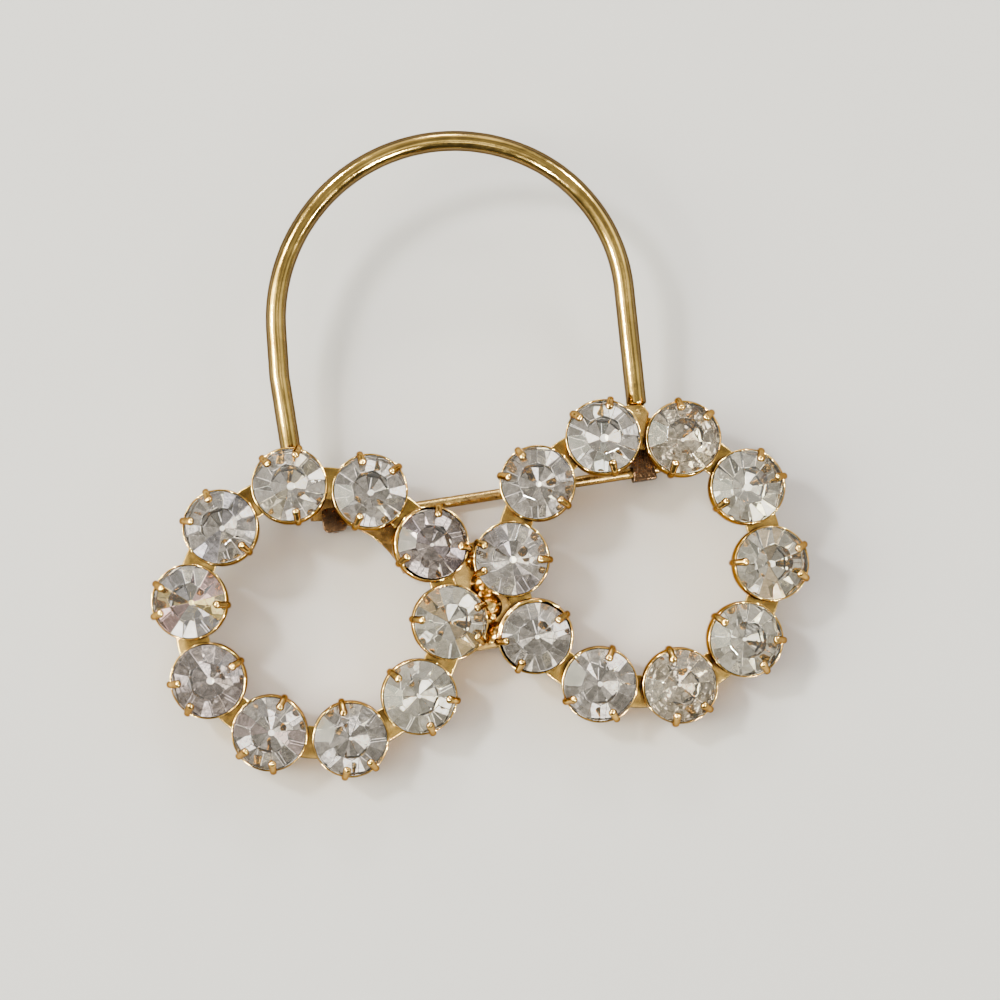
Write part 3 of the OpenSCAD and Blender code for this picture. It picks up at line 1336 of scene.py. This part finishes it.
@dataclass
class SolderJoint:
    """Solder that has run over a joint: drops that flow into each other.

    Each drop is its place and radius. The web is the outline of the flat metal under them,
    grain the size of the surface's finest detail, and flow how often it is smoothed.
    """

    name: str
    drops: tuple[tuple[float, float, float, float], ...]
    web: tuple[tuple[float, float], ...] = ()
    web_t: float = 0.65
    grain: float = 0.07
    flow: int = 12

    @classmethod
    def all_of(cls, wire: ArchWire) -> "list[SolderJoint]":
        """The solder between the rings, and at the two feet of the wire.

        Args:
            wire: The arch wire.

        Returns:
            The three joints.
        """
        right_foot, left_foot = wire.line()[0], wire.line()[-1]
        return [
            cls(
                "solder_bridge",
                (
                    (0.15, 1.9, 1.25, 0.85), (0.35, 0.2, 1.4, 1.05), (0.4, -1.5, 1.4, 0.95),
                    (0.65, -3.4, 1.3, 0.8), (0.02, 3.25, 1.6, 0.32), (0.77, 2.91, 1.6, 0.32),
                    (-0.46, 2.02, 2.0, 0.3), (0.05, -0.08, 2.4, 0.28), (-0.15, -0.6, 2.3, 0.24),
                    (0.52, -2.26, 2.2, 0.32), (0.1, -3.95, 1.7, 0.3), (0.6, -4.05, 1.75, 0.3),
                    (1.1, -4.12, 1.7, 0.3), (-3.2, 0.72, 0.6, 0.3),
                ),
                ((-2.7, -4.5), (2.7, -4.5), (1.7, 0), (2.3, 3.3), (-2.3, 3.3), (-1.7, 0)),
            ),
            cls("solder_foot_left", ((left_foot.x, left_foot.y + 0.1, 0.95, 0.8),)),
            cls(
                "solder_foot_right",
                ((right_foot.x + 0.1, right_foot.y - 0.35, 1.0, 0.55),),
                (
                    (12.05, 11.15), (12.5, 9.9), (12.6, 8.9), (13.6, 8.8), (13.75, 9.7),
                    (14.0, 10.5), (13.7, 11.1), (12.75, 11.4),
                ),
                web_t=1.5,
                flow=5,
            ),
        ]

    def build(self) -> Bench:
        """Shapes the drops from balls, joins them with the web, and lets them flow.

        Returns:
            The solder.
        """
        made = [Bench.ball(self.name, radius, (x, y, z)) for x, y, z, radius in self.drops]
        if self.web:
            made.append(self.build_web())
        joint = made[0].take_in(*made[1:]) if made[1:] else made[0]
        joint.modify("REMESH", mode="VOXEL", voxel_size=self.grain)
        joint.keep_whole()
        joint.modify("SMOOTH", factor=0.5, iterations=self.flow)
        return joint.smooth(ALL_ROUND)

    def build_web(self) -> Bench:
        """Shapes the flat metal under the drops, from its drawn outline.

        Returns:
            The web.
        """
        web = Bench.disc("web", 1, len(self.web), (0, 0, 0), filled=True)
        for point, (x, y) in zip(web.work.data.vertices, self.web, strict=True):
            point.co = (x, y, 0)
        web.pick_all()
        web.extrude((0, 0, self.web_t))
        web.face_out()
        web.hold()
        return web

    def dress(self, finishes: Finishes) -> None:
        """Builds the solder and gives it its finish."""
        self.build().set_down([finishes.solder], "gold_plate", "frame")


@dataclass
class CutStone:
    """A round stone, cut facet by facet from a glass blank."""

    mains: int = 8
    blank_points: int = 64
    weld: float = 1e-3
    edge_wear: float = 0.03
    edge_from: float = 10.0
    # Faces that look down more than this have the foil behind them
    foil_below: float = -0.1
    # The way that the worn tips face, seen in the flat brooch
    tip_way: Point = (0.269, -0.068, -0.961)

    def cut(
        self, stone: Bench, azimuth: float, a: tuple[float, float], b: tuple[float, float]
    ) -> None:
        """Grinds one facet.

        Args:
            stone: The blank.
            azimuth: The facet's direction, in degrees.
            a: One point of the facet's line in its own section, as (reach, height).
            b: Another point of that line.
        """
        run, rise = b[0] - a[0], b[1] - a[1]
        turn = math.radians(azimuth)
        out, up = abs(rise), run if rise < 0 else -run
        normal = Vector((out * math.cos(turn), out * math.sin(turn), up)).normalized()
        place = Vector((a[0] * math.cos(turn), a[0] * math.sin(turn), a[1]))
        self.slice(stone, place, normal)

    def slice(self, stone: Bench, place: Vector, normal: Vector) -> None:
        """Takes off what lies past a plane, and closes the stone there."""
        stone.pick_all()
        bpy.ops.mesh.bisect(
            plane_co=place, plane_no=normal, use_fill=True, clear_outer=True, threshold=1e-5
        )

    def wear_tip(self, stone: Bench, place: Matrix, depth: float) -> None:
        """Wears the tip off, and sorts the faces into slots.

        Args:
            stone: The stone, upright at the bench's middle.
            place: Where it goes in the flat brooch.
            depth: How much of its tip is gone.
        """
        way = (place.to_3x3().inverted() @ Vector(self.tip_way)).normalized()
        self.slice(stone, Vector((0, 0, depth - LAYOUT.pavilion_h)), way)
        stone.hold()
        for face in stone.work.data.polygons:
            face.material_index = 1 if face.normal.z < self.foil_below else 0

    def build(self) -> Bench:
        """Cuts the crown round the table, and the pavilion's facets between the crown's.

        Returns:
            The stone, with its girdle at height 0 and its tip sharp.
        """
        r, half = LAYOUT.stone_r, LAYOUT.girdle_t / 2
        top, deep = LAYOUT.crown_h, LAYOUT.pavilion_h
        table_r = r * LAYOUT.table_share
        step = 360 / self.mains
        blank_h = top + deep
        stone = Bench.rod("stone", r, blank_h, self.blank_points, (0, 0, top - blank_h / 2))
        for k in range(self.mains):
            self.cut(stone, k * step, (table_r, top), (r, half))
            self.cut(stone, (k + 0.5) * step, (0, -deep), (r, -half))
        stone.merge(self.weld)
        stone.modify(
            "BEVEL", width=self.edge_wear, segments=2, limit_method="ANGLE",
            angle_limit=math.radians(self.edge_from),
        )
        return stone


@dataclass(frozen=True)
class StoneLook:
    """What sets one stone apart from the others.

    Worn is how much of its tip is gone, in millimetres. Fire holds the facets, counted round
    the pavilion, that throw a colour.
    """

    tone: StoneTone = StoneTone.CLEAR
    worn: float = 0.09
    fire: dict[int, Colour] = field(default_factory=dict)


@dataclass
class Stones:
    """The twenty stones, each in its cup.

    The turns are the steps, in degrees, by which each next stone of a ring is turned in its
    cup. Lean is the most that a stone leans, in degrees, and lean_step how far round, in
    radians, the next one leans. Slip is how much of its slack a small stone has slid.
    """

    cut: CutStone = field(default_factory=CutStone)
    left_turn: int = 17
    right_turn: int = 51
    lean: float = 1.2
    lean_step: float = 7.0
    slip: float = 0.8
    seed: int = 20
    left: tuple[StoneLook, ...] = (
        StoneLook(worn=0.2, fire={2: (1.0, 0.96, 0.8)}),
        StoneLook(StoneTone.DIM, 0.15),
        StoneLook(StoneTone.SMOKY, fire={5: (0.9, 0.88, 0.98)}),
        StoneLook(StoneTone.STRAW, fire={1: (1.0, 0.8, 0.5)}),
        StoneLook(StoneTone.STRAW),
        StoneLook(StoneTone.DIM),
        StoneLook(StoneTone.DIM, 0.16, {3: (0.96, 0.84, 0.86)}),
        StoneLook(StoneTone.SMOKY, 0.2),
        StoneLook(
            worn=0.14,
            fire={0: (1.0, 0.84, 0.38), 3: (0.88, 0.9, 1.0), 5: (0.92, 0.66, 0.68)},
        ),
        StoneLook(StoneTone.DIM, 0.14, {6: (0.84, 0.86, 1.0)}),
    )
    right: tuple[StoneLook, ...] = (
        StoneLook(worn=0.21, fire={2: (0.92, 0.98, 0.95)}),
        StoneLook(StoneTone.CLOUDY),
        StoneLook(StoneTone.STRAW, 0.19),
        StoneLook(StoneTone.STRAW, 0.17, {1: (1.0, 0.86, 0.66)}),
        StoneLook(StoneTone.STRAW),
        StoneLook(StoneTone.CLOUDY),
        StoneLook(StoneTone.DIM, 0.13),
        StoneLook(StoneTone.DIM, 0.12),
        StoneLook(StoneTone.DIM, 0.18, {4: (0.94, 0.92, 1.0)}),
        StoneLook(StoneTone.DIM, 0.15),
    )

    def look(self, side: Side, number: int) -> StoneLook:
        """What sets one stone apart."""
        return (self.left if side is Side.LEFT else self.right)[number - 1]

    def place(self, side: Side, number: int, chance: random.Random) -> Matrix:
        """Where one stone sits.

        Args:
            side: The ring.
            number: The stone, from 1, clockwise.
            chance: The source of its lean.

        Returns:
            The move from the bench's middle to the flat brooch.
        """
        step = self.left_turn if side is Side.LEFT else self.right_turn
        way = Vector((math.cos(self.lean_step * number), math.sin(self.lean_step * number), 0))
        share, towards = LAYOUT.small.get(f"{side.label}_{number}", (1.0, 0.0))
        slip = (1 - share) * LAYOUT.stone_r * self.slip
        aside = turned(towards, "Z") @ Vector((slip, 0, 0))
        return (
            LAYOUT.at_stone(side, number)
            @ Matrix.Translation(aside + Vector((0, 0, LAYOUT.girdle_z)))
            @ turned(chance.uniform(0, self.lean), way)
            @ turned(step * number, "Z")
            @ Matrix.Scale(share, 4)
        )

    def write_fire(self, stone: Bench, tints: dict[int, Colour]) -> None:
        """Writes the colour that each facet throws into an attribute.

        Args:
            stone: The stone, upright at the bench's middle.
            tints: The colours of the tinted pavilion facets.
        """
        stone.hold()
        mesh = stone.work.data
        step = math.tau / self.cut.mains
        rows = mesh.attributes.new(CrystalFinish.FIRE, "FLOAT_COLOR", "FACE").data
        for face, row in zip(mesh.polygons, rows, strict=True):
            sector = int(math.atan2(face.normal.y, face.normal.x) % math.tau / step)
            tint = tints.get(sector, (1, 1, 1)) if face.material_index else (1, 1, 1)
            row.color = (*tint, 1)

    def dress(self, finishes: Finishes) -> None:
        """Cuts one stone and copies it to every cup, each at its own turn.

        Args:
            finishes: The brooch's finishes.
        """
        template = self.cut.build()
        chance = random.Random(self.seed)
        for side, number in LAYOUT.numbered():
            key, look = f"{side.label}_{number}", self.look(side, number)
            place = self.place(side, number, chance)
            made = template.copy(f"crystal_{key}")
            self.cut.wear_tip(made, place, look.worn)
            self.write_fire(made, look.fire)
            made.move(place)
            made.set_down(finishes.crystals[look.tone], "crystal", f"stone_{key}")
        template.drop()


@dataclass
class PinBack:
    """The pin: a pad with its hinge, the stem, and the catch on the other ring.

    Sizes are in millimetres in the flat brooch, and turns in degrees. The pad is a bow round
    the left ring's centre, and the catch's rays are counted from the middle one.
    """

    hinge_x: float = -9.6
    catch_x: float = 13.1
    seat: float = 0.03
    pad_t: float = 0.45
    pad_from: float = 16.0
    pad_to: float = 86.0
    pad_in_r: float = 6.6
    pad_out_r: float = 9.4
    pad_start: float = 0.1
    pad_steps: int = 36
    foot_w: float = 1.75
    foot_sink: float = 0.02
    foot_corner: float = 0.4
    ear_w: float = 0.45
    ear_round: float = 0.07
    ear_upper: float = 0.05
    round_points: int = 40
    rivet_r: float = 0.24
    rivet_l: float = 0.12
    rivet_sink: float = 0.02
    rivet_points: int = 24
    rivet_round: float = 0.05
    barrel_share: float = 0.85
    barrel_round: float = 0.1
    stem_d: float = 0.8
    stem_tip: float = 1.3
    stem_points: int = 28
    stem_crease: float = 50.0
    point_l: float = 3.0
    catch_l: float = 1.75
    catch_neck: float = 0.9
    catch_from: float = 0.7
    catch_under: float = 0.9
    catch_round: float = 0.1
    rays: tuple[int, ...] = (-2, -1, 0, 1, 2)
    ray_spread: float = 6.0
    ray_size: Span = (0.1, 0.12)
    ray_short: float = 0.25
    ray_flare: float = 1.6
    ray_round: float = 0.04
    hook_wall: float = 0.35
    hook_slack: float = 0.03
    hook_turn: float = 215.0
    hook_steps: int = 24
    hook_round: float = 0.05
    edge_round: float = 0.08
    edge_from: float = 40.0
    crease: float = 35.0

    @property
    def pad_z(self) -> float:
        """The height of the pad's lower face."""
        return -self.seat - self.pad_t

    @property
    def middle_z(self) -> float:
        """The height of the middle of the pad's thickness."""
        return self.pad_z + self.pad_t / 2

    @property
    def hook_r(self) -> float:
        """The hook's inner radius: it grips the stem."""
        return self.stem_d / 2 - self.hook_slack

    @property
    def stem_z(self) -> float:
        """The stem's height: its hook touches the table together with the knuckle.

        Returns:
            The height.
        """
        tilt = LAYOUT.rest_tilt
        reach = (self.hook_r + self.hook_wall) / math.cos(tilt)
        return reach - LAYOUT.knuckle_depth - LAYOUT.knuckle_w / 2 * math.tan(tilt)

    @property
    def ear_r(self) -> float:
        """The radius of the knuckle's round ears."""
        return LAYOUT.knuckle_depth + self.stem_z

    def round_edges(self, piece: Bench, width: float | None = None) -> Bench:
        """Rounds a piece's sharp edges."""
        return piece.modify(
            "BEVEL", width=width or self.edge_round, segments=3, limit_method="ANGLE",
            angle_limit=math.radians(self.edge_from),
        ).smooth(self.crease)

    def pad(self) -> Bench:
        """Spins the curved pad from a small block.

        Returns:
            The pad.
        """
        middle = ((self.pad_in_r + self.pad_out_r) / 2, self.pad_start / 2, self.middle_z)
        size = (self.pad_out_r - self.pad_in_r, self.pad_start, self.pad_t)
        pad = Bench.block("hinge_pad", size, middle)
        pad.pick(Pick.FACES, lambda c, n: n.y > FACING)
        sweep = self.pad_from - self.pad_to
        pad.spin(self.pad_steps, sweep, about=(0, 0, 0), axis=(0, 0, 1))
        ring = Matrix.Translation((LAYOUT.ring_x(Side.LEFT), 0, 0))
        pad.move(ring @ turned(self.pad_from, "Z"))
        return self.round_edges(pad)

    def foot(self) -> Bench:
        """Shapes the knuckle's foot, with its corners rounded.

        Returns:
            The foot.
        """
        foot = Bench.block(
            "pin_foot", (self.foot_w, LAYOUT.knuckle_w, self.pad_t + self.foot_sink),
            (self.hinge_x, LAYOUT.pin_y, self.middle_z),
        )
        foot.pick(Pick.EDGES, lambda a, b: abs(a.z - b.z) > NEAR)
        foot.bevel(self.foot_corner, segments=5)
        foot.hold()
        return self.round_edges(foot)

    def knuckle(self) -> Bench:
        """Shapes the two ears, the barrel between them and the rivet through them.

        Returns:
            The hinge's knuckle.
        """
        lie = turned(90, "X")
        at = Matrix.Translation((self.hinge_x, LAYOUT.pin_y, self.stem_z))
        middle, rise = (0, 0, 0), (0, 0, self.middle_z - self.stem_z)
        parts = []
        for way in (-1, 1):
            off = Matrix.Translation((0, way * (LAYOUT.knuckle_w - self.ear_w) / 2, 0))
            ear = Bench.rod("ear", self.ear_r, self.ear_w, self.round_points, middle).move(lie)
            ear.pick(Pick.FACES, lambda c, n: n.z > self.ear_upper)
            ear.extrude(rise)
            ear.resize((1, 1, 0), rise)
            ear.merge()
            ear.plane()
            ear.move(at @ off)
            parts.append(self.round_edges(ear, self.ear_round))
            rivet = Bench.rod("rivet", self.rivet_r, self.rivet_l, self.rivet_points, middle)
            out = Matrix.Translation((0, way * (LAYOUT.knuckle_w / 2 - self.rivet_sink), 0))
            parts.append(self.round_edges(rivet.move(lie).move(at @ out), self.rivet_round))
        radius, length = self.ear_r * self.barrel_share, LAYOUT.knuckle_w - self.ear_w
        barrel = Bench.rod("barrel", radius, length, self.round_points, middle)
        parts.append(self.round_edges(barrel.move(lie).move(at), self.barrel_round))
        return Bench("pin_knuckle", parts[0].work).take_in(*parts[1:])

    def stem(self) -> Bench:
        """Draws the stem out of a disc, from the knuckle to a ground point.

        Returns:
            The stem.
        """
        whole = self.catch_x + self.catch_l / 2 + self.stem_tip - self.hinge_x
        shaft = whole - self.point_l
        # Length from the hinge, and share of the full thickness
        stations = (
            (shaft * 0.5, 1.0), (shaft, 1.0), (shaft + 0.3 * self.point_l, 0.93),
            (shaft + 0.6 * self.point_l, 0.76), (shaft + 0.85 * self.point_l, 0.48),
            (whole - 0.08, 0.25), (whole, 0.1),
        )
        stem = Bench.disc("pin_stem", self.stem_d / 2, self.stem_points, (0, 0, 0), filled=True)
        stem.pick_all()
        reach, share = 0.0, 1.0
        for next_reach, next_share in stations:
            stem.extrude((0, 0, next_reach - reach), next_share / share)
            reach, share = next_reach, next_share
        stem.face_out()
        at = Matrix.Translation((self.hinge_x, LAYOUT.pin_y, self.stem_z))
        stem.move(at @ turned(90, "Y"))
        return stem.smooth(self.stem_crease)

    def ray(self, number: int, from_y: float, to_y: float) -> Bench:
        """Presses one ray into the catch's foot: a thin half-sunk rib that fans out.

        Args:
            number: The ray, counted from the middle one.
            from_y: Where it starts, on the ring.
            to_y: Where the foot ends.

        Returns:
            The ray.
        """
        lift = self.pad_z + self.pad_t
        reach = from_y - to_y - self.ray_short
        wide, thick = self.ray_size
        ray = Bench.block("ray", (wide, reach, thick), (0, -reach / 2, 0))
        ray.pick(Pick.FACES, lambda c, n: n.y < -FACING)
        ray.resize((self.ray_flare, 1, 1), (0, -reach, 0))
        self.round_edges(ray, self.ray_round)
        fan = turned(number * self.ray_spread, "Z")
        return ray.move(Matrix.Translation((self.catch_x, from_y, lift)) @ fan)

    def catch(self) -> Bench:
        """Shapes the catch: a flared foot with pressed rays, and the wall rolled to a hook.

        Returns:
            The catch.
        """
        middle_z = self.middle_z
        from_y, to_y = LAYOUT.pin_y - self.catch_from, LAYOUT.plate_in_r + self.catch_under
        foot = Bench.block(
            "pin_catch", (self.catch_l, to_y - from_y, self.pad_t),
            (self.catch_x, (from_y + to_y) / 2, middle_z),
        )
        foot.pick(Pick.FACES, lambda c, n: n.y > FACING)
        narrow, end = self.catch_neck / self.catch_l, (self.catch_x, to_y, middle_z)
        foot.resize((narrow, 1, 1), end)
        self.round_edges(foot, self.catch_round)
        foot.take_in(*[self.ray(number, to_y, from_y) for number in self.rays])
        wall_y = LAYOUT.pin_y + self.hook_r + self.hook_wall / 2
        hook = Bench.block(
            "hook", (self.catch_l, self.hook_wall, middle_z - self.stem_z),
            (self.catch_x, wall_y, (middle_z + self.stem_z) / 2),
        )
        hook.pick(Pick.FACES, lambda c, n: n.z < -FACING)
        stem = (self.catch_x, LAYOUT.pin_y, self.stem_z)
        hook.spin(self.hook_steps, self.hook_turn, about=stem, axis=(1, 0, 0))
        self.round_edges(hook, self.hook_round)
        return foot.take_in(hook)

    def dress(self, finishes: Finishes) -> None:
        """Builds the pin's pieces and gives them their finish.

        Args:
            finishes: The brooch's finishes.
        """
        self.stem().set_down([finishes.finding], "gold_finding", "pin_back")
        self.pad().set_down([finishes.pad], "gold_finding", "pin_back")
        for piece in (self.knuckle().take_in(self.foot()), self.catch()):
            piece.set_down([finishes.tarnished], "gold_finding", "pin_back")


@dataclass(frozen=True)
class Lamp:
    """A soft round box that faces the brooch, its place and size in metres.

    One that is for glints only shows in shiny surfaces and leaves the floor as it is.
    """

    name: str
    place: Point
    size: float
    watts: float
    colour: Colour
    glints_only: bool = False

    def hang(self) -> None:
        """Hangs the lamp."""
        data = bpy.data.lights.new(self.name, "AREA")
        data.shape, data.size = "DISK", self.size
        data.energy, data.color = self.watts, self.colour
        lamp = bpy.data.objects.new(self.name, data)
        bpy.context.scene.collection.objects.link(lamp)
        lamp.location = self.place
        lamp.rotation_mode = "QUATERNION"
        lamp.rotation_quaternion = Vector(self.place).to_track_quat("Z", "Y")
        lamp.visible_diffuse = not self.glints_only


@dataclass(frozen=True)
class Window:
    """A soft window: its direction, the cosines of its outer and inner edge, and its glow."""

    way: Point
    edge: Span
    glow: Colour


@dataclass
class Studio:
    """Pale floor, soft light, and the camera at the photograph's angle.

    The camera's place and turns are those from the flat brooch, in millimetres and degrees,
    and its focal length and the picture's width are in pixels.
    """

    floor_size: float = 3.0
    floor_rough: float = 0.75
    floor_grain: float = 0.08
    floor_dark: Colour = (0.8, 0.79, 0.77)
    floor_light: Colour = (0.84, 0.83, 0.81)
    focal_px: float = 3878.0
    sensor: float = 36.0
    picture: int = 1000
    clip: Span = (0.01, 10)
    camera_place: Point = (-10.815, -4.222, 279.779)
    camera_turns: Point = (-2.493, 2.35, 9.038)
    wall_dark: Colour = (0.1, 0.096, 0.092)
    wall_mid: Colour = (0.33, 0.315, 0.29)
    wall_light: Colour = (0.84, 0.81, 0.76)
    wall_panels: float = 3.1
    panel_edge: Span = (0.44, 0.56)
    dark_edge: Span = (-0.75, -0.25)
    lamps: tuple[Lamp, ...] = (
        Lamp("key", (-0.5, 0.35, 0.7), 0.14, 5, (1, 0.97, 0.92)),
        Lamp("fill", (0.7, -0.1, 0.6), 0.5, 0.7, (0.93, 0.96, 1)),
        Lamp("back", (0.1, 0.8, 0.45), 0.12, 2, (1, 0.98, 0.95)),
    )
    spark_size: float = 0.06
    spark_watts: float = 11.0
    spark_colour: Colour = (1, 0.98, 0.94)
    sparks: tuple[Point, ...] = (
        (-0.6, 0.1, 0.57), (-0.6, 0.0, 0.57), (-0.6, -0.09, 0.57), (-0.3, 0.55, 0.55),
        (0.5, 0.4, 0.55), (0.2, -0.55, 0.6), (-0.4, -0.5, 0.55), (0.48, -0.42, 0.5),
    )
    windows: tuple[Window, ...] = (
        Window((-0.78, 0.12, 0.6), (0.92, 0.965), (9.5, 9.3, 7.2)),
        Window((-0.46, -0.06, 0.88), (0.965, 0.985), (3.4, 3.3, 3.05)),
        Window((0.15, 0.85, 0.5), (0.92, 0.97), (2.4, 2.3, 2.2)),
        Window((0.75, 0.3, 0.6), (0.96, 0.985), (3.4, 3.4, 3.4)),
        Window((0.04, -0.2, 0.98), (0.9965, 0.999), (4.5, 4.5, 4.6)),
        Window((-0.24, -0.12, 0.96), (0.998, 0.9993), (4.5, 4.5, 4.5)),
        Window((0.27, -0.06, 0.96), (0.9985, 0.9996), (4.5, 4.4, 4.2)),
        Window((-0.06, -0.44, 0.9), (0.996, 0.9985), (5.0, 5.0, 5.2)),
    )

    def camera(self) -> None:
        """Sets the camera up."""
        turns = [turned(turn, axis) for turn, axis in zip(self.camera_turns, "XYZ", strict=True)]
        look = turns[0] @ turns[1] @ turns[2]
        stand = LAYOUT.rest @ Matrix.Translation(self.camera_place) @ look.transposed()
        stand.translation *= MM
        data = bpy.data.cameras.new("camera")
        data.sensor_width = self.sensor
        data.lens = self.focal_px / self.picture * self.sensor
        data.clip_start, data.clip_end = self.clip
        made = bpy.data.objects.new("camera", data)
        bpy.context.scene.collection.objects.link(made)
        made.matrix_world = stand
        bpy.context.scene.camera = made

    def floor(self) -> None:
        """Lays the pale floor."""
        Bench.clear()
        bpy.ops.mesh.primitive_plane_add(size=self.floor_size)
        floor = bpy.context.object
        floor.name = "floor"
        made, board = new_material("pale_floor")
        shader = board.principled(Roughness=self.floor_rough)
        grain = board.noise(board.millimetres(), self.floor_grain, detail=4)
        colour = board.blend(grain, self.floor_dark, self.floor_light)
        board.join(colour, shader.inputs["Base Color"])
        floor.data.materials.append(made)

    def light(self) -> None:
        """Hangs the lamps, and small ones that only make glints."""
        for lamp in self.lamps:
            lamp.hang()
        for k, place in enumerate(self.sparks):
            Lamp(
                f"spark_{k}", place, self.spark_size, self.spark_watts, self.spark_colour,
                glints_only=True,
            ).hang()

    def room(self) -> None:
        """Sets the room's light all round: dark and pale walls, and soft windows."""
        world = bpy.data.worlds.new("room")
        bpy.context.scene.world = world
        world.use_nodes = True
        board = Board(world.node_tree)
        place = board.add("ShaderNodeTexCoord").outputs["Generated"]
        split = board.add("ShaderNodeSeparateXYZ")
        board.join(place, split.inputs["Vector"])
        panels = board.noise(place, self.wall_panels, detail=1)
        wall = board.blend(board.remap(panels, self.panel_edge), self.wall_mid, self.wall_light)
        towards_arch = board.remap(split.outputs["Y"], self.dark_edge)
        shade = board.blend(towards_arch, self.wall_dark, wall)
        for window in self.windows:
            facing = board.add("ShaderNodeVectorMath", operation="DOT_PRODUCT")
            board.join(place, facing.inputs[0])
            facing.inputs[1].default_value = Vector(window.way).normalized()
            glass = board.remap(facing.outputs["Value"], window.edge)
            shade = board.blend(glass, shade, window.glow)
        back = board.add("ShaderNodeBackground", Strength=1.0)
        board.join(shade, back.inputs["Color"])
        out = board.add("ShaderNodeOutputWorld")
        board.join(back.outputs["Background"], out.inputs["Surface"])

    def build(self) -> None:
        """Builds the floor, the camera and the light."""
        self.floor()
        self.camera()
        self.light()
        self.room()


def main() -> None:
    """Builds the brooch piece by piece, then the studio."""
    logging.basicConfig(level=logging.INFO, format="%(name)s: %(message)s")
    finishes = Finishes.build()
    for side in Side:
        RingPlate(side).dress(finishes)
    Settings().dress(finishes)
    wire = ArchWire()
    wire.dress(finishes)
    for joint in SolderJoint.all_of(wire):
        joint.dress(finishes)
    Stones().dress(finishes)
    PinBack().dress(finishes)
    Studio().build()
    LOG.info("sizes written")


if __name__ == "__main__":
    main()
